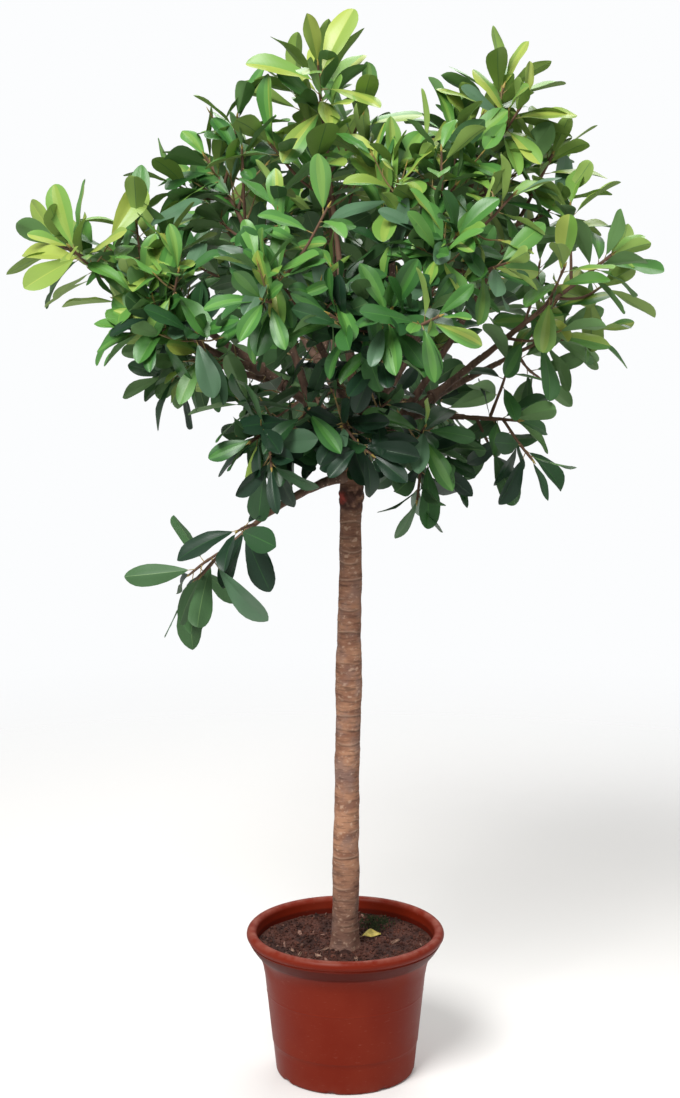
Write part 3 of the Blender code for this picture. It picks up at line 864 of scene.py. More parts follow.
    def twig(self, branch: Branch, limb: Sequence[Vector], key: int, share: float) -> Shoot:
        """Grows one finer twig of the same kind from a limb.

        Args:
            branch: The branch.
            limb: The path of the limb or shoot that it leaves.
            key: A number of its own within the branch.
            share: Where it leaves, as a share of the limb's length.

        Returns:
            The twig.
        """
        rng = random.Random((branch.seed * 100 + branch.twig_seed) * 1000 + key)
        root, axis = along(limb, share)
        turn = rng.uniform(0.0, math.tau)
        tilt = math.radians(rng.uniform(*self.shoot_tilt))
        length = rng.uniform(*self.twig_length)
        points, radii = self.sprout(root, axis, turn, tilt, length, branch.weight, self.twig_radii)
        count = rng.choice(self.twig_leaves)
        leaves = self.rosette(rng, points, count, branch.weight, branch.vigour * self.twig_vigour)
        return Shoot(points, radii, leaves)


@dataclass
class Growth:
    """The whole plant as paths, shoots and leaves, with no meshes yet."""

    habit: Habit = field(default_factory=Habit)
    paths: dict[str, list[Vector]] = field(default_factory=dict)
    shoots: dict[str, list[Shoot]] = field(default_factory=dict)

    def samples(self, points: Sequence[Vector], radii: Sequence[float]) -> list[tuple[Vector, float]]:
        """Points close together along a limb, each with the limb's radius there.

        Args:
            points: The limb's path.
            radii: Its radius at each point.

        Returns:
            The points with their radii.
        """
        found = []
        for a, b, ra, rb in zip(points, points[1:], radii, radii[1:]):
            count = max(1, round((b - a).length / self.habit.sample_spacing))
            found += [(a.lerp(b, i / count), ra + (rb - ra) * i / count) for i in range(count)]
        found.append((points[-1], radii[-1]))
        return found

    def branch_path(self, branch: Branch, steps: int) -> list[Vector]:
        """A branch's centreline: one arching curve from its parent limb to its tip.

        Args:
            branch: The branch.
            steps: The number of pieces of the curve.

        Returns:
            The points.
        """
        root = along(self.paths[branch.parent], branch.share)[0]
        turn = math.radians(branch.azimuth)
        tip = Vector((branch.reach * math.cos(turn), branch.reach * math.sin(turn), branch.height))
        knee = root.lerp(tip, 0.5) + Vector((0.0, 0.0, 2.0 * branch.arch))
        shares = [i / steps for i in range(steps + 1)]
        return [root.lerp(knee, t).lerp(knee.lerp(tip, t), t) for t in shares]

    def grow(self) -> None:
        """Grows the limbs, the shoots of the source's rule, and then the finer twigs."""
        self.paths["trunk"] = [Vector((lean, 0.0, height)) for height, lean, _ in TRUNK]
        for branch in BRANCHES:
            self.paths[branch.name] = self.branch_path(branch, self.habit.path_steps)
        rows = self.samples(self.paths["trunk"], [radius for _, _, radius in TRUNK])
        for branch in BRANCHES:
            points = self.paths[branch.name][: self.habit.bough_steps + 1]
            rows += self.samples(points, self.habit.limb_radii(branch))
        limbs = Room(rows)
        for branch in BRANCHES:
            self.shoots[branch.name] = [self.habit.stem_of(branch, self.paths[branch.name])]
        for branch in BRANCHES:
            self.add_side_shoots(branch, limbs)
        self.add_twigs(limbs)

    def add_side_shoots(self, branch: Branch, limbs: Room) -> None:
        """Adds the side shoots that keep clear of the limbs and of the other masses.

        Args:
            branch: The branch that gets them.
            limbs: The room that the limbs take.
        """
        habit = self.habit
        own = self.shoots[branch.name]
        for number in range(1, branch.shoots + 1):
            shoot = habit.side_shoot(branch, own[0], number)
            others = [s for name, kept in self.shoots.items() if name != branch.name for s in kept]
            rest = Room([row for s in others for row in self.samples(s.points, s.radii)])
            test = [p for p, _ in self.samples(shoot.points, shoot.radii)]
            crowded = any(rest.distance(p) < habit.shoot_room for p in test)
            room = habit.limb_room + habit.shoot_radii[0]
            if not crowded and not any(limbs.touches(p, room) for p in test[1:]):
                own.append(shoot)

    def finer_twigs(self, branch: Branch, reached: Room) -> list[Shoot]:
        """Grows a branch's finer twigs, with the leaves that stay within the crown's reach.

        Args:
            branch: The branch.
            reached: The places that the leaves of the main rule reach.

        Returns:
            The twigs of its bough's outer part, its stem and its side shoots.
        """
        habit = self.habit
        bough = self.paths[branch.name][: habit.bough_steps + 1]
        places = habit.bough_twig_places[: 2 * branch.twigs]
        starts = [(bough, 90 + k, share, habit.inner_reach) for k, share in enumerate(places)]
        for s, shoot in enumerate(self.shoots[branch.name]):
            places = habit.twig_places[: branch.twigs] if s else habit.stem_twig_places[: 2 * branch.twigs]
            starts += [(shoot.points, s * 10 + k, share, habit.twig_reach) for k, share in enumerate(places)]
        finer = []
        for limb, key, share, reach in starts:
            twig = habit.twig(branch, limb, key, share)
            twig.leaves = [
                leaf
                for leaf in twig.leaves
                if all(reached.distance(leaf.line(t)[0]) < reach for t in (habit.leaf_shoulder, 1.0))
            ]
            finer.append(twig)
        return [twig for twig in finer if len(twig.leaves) > 1]

    def add_twigs(self, limbs: Room) -> None:
        """Adds the finer twigs, and keeps the leaves that stay clear of limbs and of each other.

        Args:
            limbs: The room that the limbs take.
        """
        grown = [leaf for kept in self.shoots.values() for s in kept for leaf in s.leaves]
        shares = self.habit.reach_shares
        reached = Room([(leaf.line(share)[0], 0.0) for leaf in grown for share in shares])
        middles: list[Vector] = []
        finer = {branch.name: self.finer_twigs(branch, reached) for branch in BRANCHES}
        for part in (self.shoots, finer):
            for shoots in part.values():
                for shoot in shoots:
                    shoot.leaves = [leaf for leaf in shoot.leaves if self.fits(leaf, limbs, middles)]
        for name, twigs in finer.items():
            self.shoots[name] += [twig for twig in twigs if twig.leaves]

    def fits(self, leaf: Leaf, limbs: Room, middles: list[Vector]) -> bool:
        """Whether a leaf stays in the plant's box, off the limbs and off the leaves before it.

        Args:
            leaf: The leaf.
            limbs: The room that the limbs take.
            middles: The middles of the leaves kept so far, to which this one is added.

        Returns:
            Whether it is kept.
        """
        habit = self.habit
        side = leaf.aim.cross(leaf.face) * (leaf.length * habit.leaf_width / 2)
        middle = leaf.line(habit.leaf_shoulder)[0]
        outline = [leaf.line(t)[0] for t in habit.leaf_shares] + [middle + side, middle - side]
        slack = habit.box_slack
        for point in outline:
            if any(p < low - slack or p > high + slack for p, low, high in zip(point, CAD_LOW, CAD_HIGH)):
                return False
            if limbs.touches(point, habit.limb_room):
                return False
        if any((middle - other).length < habit.leaf_clearance for other in middles):
            return False
        middles.append(middle)
        return True


@functools.lru_cache(maxsize=None)
def sleeve_faces(rings: int, sides: int, upper: int) -> tuple[np.ndarray, np.ndarray]:
    """The faces of a closed sleeve: quads along its sides and a fan of triangles at each end.

    Args:
        rings: The number of rings of points.
        sides: The number of points in a ring.
        upper: The number of its upper sides. The others are split into triangles the other way
            round, so that the two skins of a thin blade never cross.

    Returns:
        The quads and the triangles, as point numbers. Point 0 is the first end, then the rings.
    """
    j = np.arange(sides)
    k = (j + 1) % sides
    i = np.arange(rings - 1)[:, None] * sides
    quads = 1 + np.stack([i + j, i + k, i + sides + k, i + sides + j], axis=-1)
    quads[:, upper:] = np.roll(quads[:, upper:], -1, axis=-1)
    last = (rings - 1) * sides
    first_end = np.stack([np.zeros(sides, int), 1 + k, 1 + j], axis=-1)
    last_end = np.stack([1 + last + j, 1 + last + k, np.full(sides, 1 + rings * sides)], axis=-1)
    return quads.reshape(-1, 4), np.vstack([first_end, last_end])


class MeshPile:
    """Gathers closed sleeves and loose faces, and joins them into one mesh."""

    def __init__(self) -> None:
        """Starts with nothing."""
        self.parts: list[tuple[np.ndarray, ...]] = []
        self.count = 0

    def add(
        self,
        points: np.ndarray,
        quads: np.ndarray,
        triangles: np.ndarray,
        quad_slots: np.ndarray,
        triangle_slots: np.ndarray,
        places: np.ndarray | None = None,
    ) -> None:
        """Adds points and faces.

        Args:
            points: Points, one a row.
            quads: Faces of four points.
            triangles: Faces of three points.
            quad_slots: The material number of each quad.
            triangle_slots: The material number of each triangle.
            places: The map coordinates of each point.
        """
        places = np.zeros((len(points), 2)) if places is None else places
        faces = (quads + self.count, triangles + self.count)
        self.parts.append((points, *faces, quad_slots, triangle_slots, places))
        self.count += len(points)

    def add_sleeves(
        self,
        rings: np.ndarray,
        ends: np.ndarray,
        slots: np.ndarray,
        places: np.ndarray | None = None,
        upper: int | None = None,
    ) -> None:
        """Adds closed sleeves of one kind.

        Args:
            rings: Points by sleeve, ring and side.
            ends: The two end points of each sleeve.
            slots: The material number of each side face, by sleeve and side.
            places: The map coordinates of one sleeve's points, the same for all.
            upper: The number of upper sides of a thin blade.
        """
        count, length, sides = rings.shape[:3]
        size = length * sides + 2
        quads, triangles = sleeve_faces(length, sides, sides if upper is None else upper)
        points = np.concatenate([ends[:, :1], rings.reshape(count, -1, 3), ends[:, 1:]], axis=1)
        steps = (np.arange(count) * size)[:, None, None]
        self.add(
            points.reshape(-1, 3),
            (quads + steps).reshape(-1, 4),
            (triangles + steps).reshape(-1, 3),
            np.tile(slots, (1, length - 1)).reshape(count, length - 1, sides).ravel(),
            np.tile(slots, (1, 2)).ravel(),
            None if places is None else np.tile(places, (count, 1)),
        )

    def add_sleeve(self, rings: np.ndarray, ends: Sequence[Sequence[float]], slot: int = 0) -> None:
        """Adds one closed sleeve of one material: its points by ring and side, and its two ends."""
        self.add_sleeves(rings[None], np.stack(ends)[None], np.full((1, rings.shape[1]), slot))

    def build(
        self, name: str, materials: Sequence[bpy.types.Material], sharp: float = 60.0
    ) -> bpy.types.Object:
        """Makes the joined mesh object.

        Args:
            name: The object's name.
            materials: Its materials, in the order of their numbers.
            sharp: The angle between faces above which an edge is sharp, in degrees.

        Returns:
            The object, in the scene.
        """
        points, quads, triangles, *slots, places = map(np.concatenate, zip(*self.parts))
        corners = np.concatenate([quads.ravel(), triangles.ravel()])
        starts = np.concatenate([np.arange(len(quads)) * 4, len(quads) * 4 + np.arange(len(triangles)) * 3])
        mesh = bpy.data.meshes.new(name)
        mesh.vertices.add(self.count)
        mesh.vertices.foreach_set("co", points.astype(np.float32).ravel())
        mesh.loops.add(len(corners))
        mesh.loops.foreach_set("vertex_index", corners.astype(np.int32))
        mesh.polygons.add(len(starts))
        mesh.polygons.foreach_set("loop_start", starts.astype(np.int32))
        mesh.polygons.foreach_set("material_index", np.concatenate(slots).astype(np.int32))
        layer = mesh.uv_layers.new(name="leaf")
        layer.uv.foreach_set("vector", places[corners].astype(np.float32).ravel())
        mesh.update(calc_edges=True)
        mesh.shade_smooth()
        mesh.set_sharp_from_angle(angle=math.radians(sharp))
        for material in materials:
            mesh.materials.append(material)
        made = bpy.data.objects.new(name, mesh)
        bpy.context.scene.collection.objects.link(made)
        return made


def round_turns(count: int) -> np.ndarray:
    """The angles of points evenly spaced round a circle."""
    return np.arange(count) * math.tau / count


def turned(radius: np.ndarray | float, height: np.ndarray | float, turn: np.ndarray) -> np.ndarray:
    """Points of a turned shape, at a radius and a height for each turn round its axis."""
    return np.stack(np.broadcast_arrays(radius * np.cos(turn), radius * np.sin(turn), height), axis=-1)


def hump(distance: np.ndarray | float, width: float) -> np.ndarray | float:
    """A smooth hump: 1 at no distance, and next to nothing two widths away."""
    return np.exp(-((distance / width) ** 2))


def smooth_path(rows: Sequence[Sequence[float]], steps: int) -> np.ndarray:
    """Points along a smooth curve through the given ones.

    Args:
        rows: The points that it passes through, of any dimension.
        steps: The number of new points for each given one.

    Returns:
        The points, one a row.
    """
    given = np.array([tuple(row) for row in rows])
    given = np.vstack([2 * given[0] - given[1], given, 2 * given[-1] - given[-2]])
    t = np.linspace(0.0, 1.0, steps, endpoint=False)[:, None]
    found = []
    for a, b, c, d in zip(given, given[1:], given[2:], given[3:]):
        bend = (2 * a - 5 * b + 4 * c - d) * t**2 + (3 * b - a - 3 * c + d) * t**3
        found.append(0.5 * (2 * b + (c - a) * t + bend))
    return np.vstack(found + [given[-2:-1]])


@dataclass(frozen=True)
class Ripple:
    """Smooth random relief, mostly between -1 and 1: the size of its lumps, its seed and stretch."""

    size: float
    seed: int
    stretch: tuple[float, float, float] = (1.0, 1.0, 1.0)
    waves: int = 16
    steepness: float = 2.2

    def at(self, points: np.ndarray) -> np.ndarray:
        """Works out the relief.

        Args:
            points: Where it is wanted, in two or three dimensions.

        Returns:
            A number for each point.
        """
        rng = np.random.default_rng(self.seed)
        axes = points.shape[-1]
        ways = rng.normal(size=(self.waves, axes)) * (self.steepness / self.size)
        starts = rng.uniform(0.0, math.tau, self.waves)
        beats = np.sin(points * np.array(self.stretch[:axes]) @ ways.T + starts)
        return beats.sum(axis=-1) / math.sqrt(self.waves / 2)


def tube_rings(path: np.ndarray, radii: np.ndarray, sides: int) -> tuple[np.ndarray, np.ndarray]:
    """Rings of points round a path, turned as little as they can be.

    Args:
        path: The centreline.
        radii: The radius at each of its points.
        sides: The number of points in a ring.

    Returns:
        The rings, by place and side, and the outward direction of each of their points.
    """
    ways = np.gradient(path, axis=0)
    ways /= np.linalg.norm(ways, axis=1, keepdims=True)
    first = np.cross(ways[0], np.array(Habit.slant))
    normals = [first / np.linalg.norm(first)]
    for way in ways[1:]:
        turned = normals[-1] - way * (normals[-1] @ way)
        normals.append(turned / np.linalg.norm(turned))
    normals = np.array(normals)
    others = np.cross(ways, normals)
    turns = round_turns(sides)
    out = normals[:, None] * np.cos(turns)[None, :, None] + others[:, None] * np.sin(turns)[None, :, None]
    return path[:, None] + out * radii[:, None, None], out


def dress(piece: bpy.types.Object, nodes: Iterable[str] = ()) -> bpy.types.Object:
    """Makes a piece ride on the plant and stands it for its solids.

    Args:
        piece: The piece.
        nodes: The solids that it stands for.

    Returns:
        The piece.
    """
    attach(piece, BODY)
    if nodes:
        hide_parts(*nodes)
    LOG.info("%s: %d faces", piece.name, len(piece.data.polygons))
    return piece


def add_marks(piece: bpy.types.Object, marks: dict[str, np.ndarray]) -> None:
    """Writes marks on a piece that is one sleeve, for its material to read.

    Args:
        piece: The piece.
        marks: For each mark's name a share for each ring and side.
    """
    for name, values in marks.items():
        attribute = piece.data.attributes.new(name, "FLOAT", "POINT")
        flat = np.concatenate([[0.0], values.ravel(), [0.0]]).astype(np.float32)
        attribute.data.foreach_set("value", flat)


@dataclass
class Foliage:
    """The masses of foliage: twigs and leaves, each kind joined into one piece for a mass."""

    growth: Growth
    stations: int = 10
    ring_range: tuple[float, float] = (0.045, 0.935)
    columns: tuple[float, ...] = (-1.0, -0.72, -0.38, -0.035, 0.035, 0.38, 0.72, 1.0)
    midrib: float = 0.04
    width: float = 0.355
    width_scatter: tuple[float, float] = (0.82, 1.18)
    taper: float = 0.90
    shoulder: tuple[float, float] = (1.8, 3.0)
    point: tuple[float, float] = (0.52, 0.82)
    edge_fade: float = 2.5
    thickness: float = 0.00055
    groove: float = 0.0003
    rib: float = 0.0006
    stalk_share: float = 0.11
    stalk_radius: float = 0.00085
    stalk_sides: int = 5
    stalk_stations: tuple[float, ...] = (0.0, 0.35, 0.75, 1.25)
    stalk_swell: tuple[float, ...] = (1.5, 1.0, 1.0, 0.55)
    fold: tuple[float, float] = (6.0, 30.0)
    twist: float = 18.0
    curl: tuple[float, float] = (0.0, 0.22)
    waviness: float = 0.0015
    waves: tuple[float, float] = (7.0, 13.0)
    stem_sides: int = 10
    shoot_sides: int = 8
    twig_steps: int = 5
    twig_lump: float = 0.006
    twig_relief: float = 0.12
    green_below: float = 0.0022
    bud_length: float = 0.011
    bud_sides: int = 6
    bud_stations: tuple[float, ...] = (-0.1, 0.15, 0.45, 0.75)
    bud_swell: tuple[float, ...] = (0.9, 1.0, 0.75, 0.4)
    # The crown's middle, radius and tone fields deal the greens as painted light and painted shade.
    crown_middle: tuple[float, float, float] = (0.0, 0.02, 1.30)
    crown_radius: float = 0.50
    tone_at_middle: float = 0.08
    outer_tone: float = 0.28
    side_tone: float = 0.24
    upper_tone: float = 0.42
    spray_scatter: float = 0.11
    leaf_scatter: float = 0.09
    youth_tone: float = 0.16
    tone_steps: tuple[float, ...] = (0.10, 0.24, 0.38, 0.52, 0.66, 0.78, 0.92)
    under_steps: tuple[float, ...] = (0.30, 0.56)
    painted_sheen_share: float = 0.06
    half_lit_share: float = 0.30
    half_lit_from: float = 0.42
    heart_share: float = 0.45
    heart_from: float = 0.25
    shades: tuple[LeafShade, ...] = tuple(LeafShade)
    materials: list[bpy.types.Material] = field(default_factory=list)
    twig_materials: list[bpy.types.Material] = field(default_factory=list)

    def make_materials(self) -> None:
        """Makes the finishes of leaves and twigs, which all masses share."""
        self.materials = [WaxyLeaf(shade).make() for shade in self.shades]
        self.materials += [
            LeafTissue(f"leaf_underside_{shade.name.lower()}", shade.value, roughness=0.55).make()
            for shade in UnderShade
        ]
        self.materials.append(LeafTissue("underside_midrib", "#5F7F4D", roughness=0.45).make())
        self.materials.append(LeafTissue("leaf_stalk", "#94804F", roughness=0.50).make())
        self.twig_materials = [
            LeafTissue("twig_bark", "#664C3B", roughness=0.75, grain=0.004, depth=0.0003).make(),
            LeafTissue("green_twig", "#7F6C46", roughness=0.60, grain=0.003, depth=0.0002).make(),
            LeafTissue("bud_sheath", "#A08A45", roughness=0.45).make(),
        ]

    def along_blade(self) -> np.ndarray:
        """Shares of the blade's length at its rings, closer together at both ends."""
        return np.sin(np.linspace(*self.ring_range, self.stations) * math.pi / 2)

    def outline(self, share: np.ndarray, count: int, rng: np.random.Generator) -> np.ndarray:
        """Half the blade's width at shares of its length, beside its greatest half width.

        Args:
            share: Shares of the blade's length.
            count: The number of leaves.
            rng: The source of chance.

        Returns:
            The half widths by leaf: narrow at the stalk, broadest past the middle, with a tip
            that is round on some leaves and more drawn out on others.
        """
        shoulder = rng.uniform(*self.shoulder, (count, 1))
        point = rng.uniform(*self.point, (count, 1))
        half = share**self.taper * (1.0 - share**shoulder) ** point
        return half / half.max(axis=1, keepdims=True)

    def blades(self, leaves: Sequence[Leaf], rng: np.random.Generator) -> tuple[np.ndarray, np.ndarray]:
        """Rings and end points of the blades of leaves.

        Args:
            leaves: The leaves.
            rng: The source of chance.

        Returns:
            The rings, by leaf, station and side, and the two ends of each blade.
        """
        base, aim, face = (
            np.array([tuple(getattr(leaf, key)) for leaf in leaves]) for key in ("base", "aim", "face")
        )
        length, bend = (
            np.array([getattr(leaf, key) for leaf in leaves])[:, None] for key in ("length", "bend")
        )
        blade = np.concatenate([[0.0], self.along_blade(), [1.0]])
        share = self.stalk_share + (1.0 - self.stalk_share) * blade
        angle = bend * share
        reach = (length / bend)[..., None]
        middle = base[:, None] + aim[:, None] * (reach * np.sin(angle)[..., None])
        middle = middle - face[:, None] * (reach * (1 - np.cos(angle))[..., None])
        facing = face[:, None] * np.cos(angle)[..., None] + aim[:, None] * np.sin(angle)[..., None]
        side = np.cross(aim, face)[:, None]
        twist = np.radians(rng.uniform(-self.twist, self.twist, (len(leaves), 1))) * blade
        across = side * np.cos(twist)[..., None] + facing * np.sin(twist)[..., None]
        up = facing * np.cos(twist)[..., None] - side * np.sin(twist)[..., None]
        top = np.array(self.columns)
        under = top[-2:0:-1]
        column = np.concatenate([top, under])
        below = np.concatenate([np.zeros(len(top)), np.ones(len(under))])
        near_rib = np.abs(column) <= self.midrib
        depth = -below * self.thickness - near_rib * (self.groove * (1 - below) + self.rib * below)
        broad = self.width / 2 * rng.uniform(*self.width_scatter, (len(leaves), 1))
        outline = self.outline(blade, len(leaves), rng)
        half = length * broad * outline
        fold = np.radians(rng.uniform(*self.fold, (len(leaves), 1, 1)))
        phase = rng.uniform(0.0, math.tau, (len(leaves), 1, 1))
        beat = np.sin(phase + blade[None, :, None] * rng.uniform(*self.waves, (len(leaves), 1, 1)))
        beat = beat * column**2 * self.waviness
        curl = rng.uniform(*self.curl, (len(leaves), 1, 1))
        out = half[..., None] * column * np.cos(fold)
        lift = half[..., None] * (np.abs(column) * np.sin(fold) - column**2 * curl)
        thin = np.minimum(1.0, outline * self.edge_fade)[..., None]
        lift = lift + beat * thin + depth * thin
        points = middle[:, :, None] + across[:, :, None] * out[..., None] + up[:, :, None] * lift[..., None]
        return points[:, 1:-1], np.stack([middle[:, 0], middle[:, -1]], axis=1)

    def stalks(self, leaves: Sequence[Leaf]) -> tuple[np.ndarray, np.ndarray]:
        """Rings and end points of the stalks of leaves.

        Args:
            leaves: The leaves.

        Returns:
            The rings, by leaf, station and side, and the two ends of each stalk.
        """
        shares = np.array(self.stalk_stations) * self.stalk_share
        swell = self.stalk_radius * np.array(self.stalk_swell)
        rings, ends = [], []
        for leaf in leaves:
            side = leaf.aim.cross(leaf.face)
            line = [leaf.line(share) for share in shares]
            ring = [
                [
                    tuple(point + (side * math.cos(t) + up * math.sin(t)) * r)
                    for t in -round_turns(self.stalk_sides)
                ]
                for (point, up), r in zip(line, swell)
            ]
            rings.append(ring)
            ends.append([tuple(line[0][0]), tuple(line[-1][0])])
        return np.array(rings), np.array(ends)

    def lighter(self, green: int, steps: int) -> int:
        """The number of the green that is some steps lighter, if there is one."""
        lightest = self.shades.index(LeafShade.LIME)
        return green if green > lightest else min(green + steps, lightest)

    def greens_of(self, leaf: Leaf, tone: float, rng: random.Random) -> tuple[int, ...]:
        """Deals a leaf its greens by its place, its age and its spray.

        Args:
            leaf: The leaf.
            tone: The tone of its spray, from dark to light.
            rng: The source of chance.

        Returns:
            The numbers of its greens: left edge, left inner half, midrib, right inner half,
            right edge and underside.
        """
        value = tone + self.youth_tone * (0.5 - leaf.age) + rng.gauss(0.0, self.leaf_scatter)
        left = right = sum(value > step for step in self.tone_steps)
        under = len(self.shades) + sum(value > step for step in self.under_steps)
        heart = int(value > self.heart_from and rng.random() < self.heart_share)
        # A few leaves get the grey-green of a painted sheen.
        if rng.random() < self.painted_sheen_share:
            left = right = self.shades.index(LeafShade.PAINTED_SHEEN)
        elif value > self.half_lit_from and rng.random() < self.half_lit_share:
            lit = self.lighter(right, 2)
            left, right = (lit, right) if rng.random() < 0.5 else (left, lit)
        rib = self.lighter(max(left, right), 1)
        return left, self.lighter(left, heart), rib, self.lighter(right, heart), right, under

    def spray_tone(self, shoot: Shoot, rng: random.Random) -> float:
        """The tone of a spray: painted light outside, at the sides and high up, painted shade inside and low.

        Args:
            shoot: The shoot that carries it.
            rng: The source of chance.

        Returns:
            The tone, mostly from 0 to 1.
        """
        # Painted light and shade: lighter greens outside, at the sides and high up, darker inside and low.
        place = (shoot.points[-1] - Vector(self.crown_middle)) / self.crown_radius
        tone = self.tone_at_middle + self.outer_tone * min(1.0, place.length)
        tone += self.upper_tone * place.z + self.side_tone * abs(place.x)
        return tone + rng.gauss(0.0, self.spray_scatter)

    def make_leaves(self, branch: Branch) -> bpy.types.Object:
        """Makes all leaves of a mass as one piece.

        Args:
            branch: The branch whose mass it is.

        Returns:
            The piece.
        """
        chance = random.Random(branch.seed * 7 + 1)
        leaves: list[Leaf] = []
        greens: list[tuple[int, ...]] = []
        for shoot in self.growth.shoots[branch.name]:
            tone = self.spray_tone(shoot, chance)
            leaves += shoot.leaves
            greens += [self.greens_of(leaf, tone, chance) for leaf in shoot.leaves]
        sides = len(self.columns) - 1
        middle = sides // 2
        dealt = np.array(greens)
        parts = [0] * (middle - 1) + [1, 2, 3] + [4] * (middle - 1) + [5] * sides
        slots = dealt[:, parts]
        slots[:, sides + middle] = len(self.materials) - 2
        column = np.array(self.columns + self.columns[-2:0:-1]) * 0.5 + 0.5
        grid = np.broadcast_arrays(self.along_blade()[:, None], column[None])
        places = np.vstack([[0.0, 0.5], np.stack(grid, axis=-1).reshape(-1, 2), [1.0, 0.5]])
        pile = MeshPile()
        pile.add_sleeves(*self.blades(leaves, np.random.default_rng(branch.seed)), slots, places, sides)
        stalk_slots = np.full((len(leaves), self.stalk_sides), len(self.materials) - 1)
        pile.add_sleeves(*self.stalks(leaves), stalk_slots)
        made = pile.build(f"leaves_{branch.name}", self.materials)
        return dress(made, [f"foliage_{branch.name}"])

    def make_twigs(self, branch: Branch) -> bpy.types.Object:
        """Makes the stem, the shoots and the finer twigs of a mass as one piece.

        Args:
            branch: The branch whose mass it is.

        Returns:
            The piece.
        """
        pile = MeshPile()
        for s, shoot in enumerate(self.growth.shoots[branch.name]):
            path = smooth_path(shoot.points, self.twig_steps)
            given = np.linspace(0.0, 1.0, len(shoot.radii))
            radii = np.interp(np.linspace(0.0, 1.0, len(path)), given, shoot.radii)
            rings, out = tube_rings(path, radii, self.shoot_sides if s else self.stem_sides)
            relief = Ripple(self.twig_lump, branch.seed + s).at(rings) * self.twig_relief * radii[:, None]
            rings = rings + out * relief[..., None]
            pile.add_sleeve(rings, path[[0, -1]], int(radii[0] < self.green_below))
            self.add_bud(pile, path, radii[-1])
        made = pile.build(f"twigs_{branch.name}", self.twig_materials)
        return dress(made)

    def add_bud(self, pile: MeshPile, path: np.ndarray, radius: float) -> None:
        """Adds the pointed bud at a shoot's tip.

        Args:
            pile: The pile that gets it.
            path: The shoot's path.
            radius: The shoot's radius at its tip.
        """
        way = path[-1] - path[-2]
        way /= np.linalg.norm(way)
        line = path[-1] + way * (np.array(self.bud_stations) * self.bud_length)[:, None]
        rings, _ = tube_rings(line, np.array(self.bud_swell) * radius, self.bud_sides)
        pile.add_sleeve(rings, (line[0], path[-1] + way * self.bud_length), 2)

    def build(self) -> None:
        """Builds every mass."""
        self.make_materials()
        for branch in BRANCHES:
            self.make_leaves(branch)
            self.make_twigs(branch)


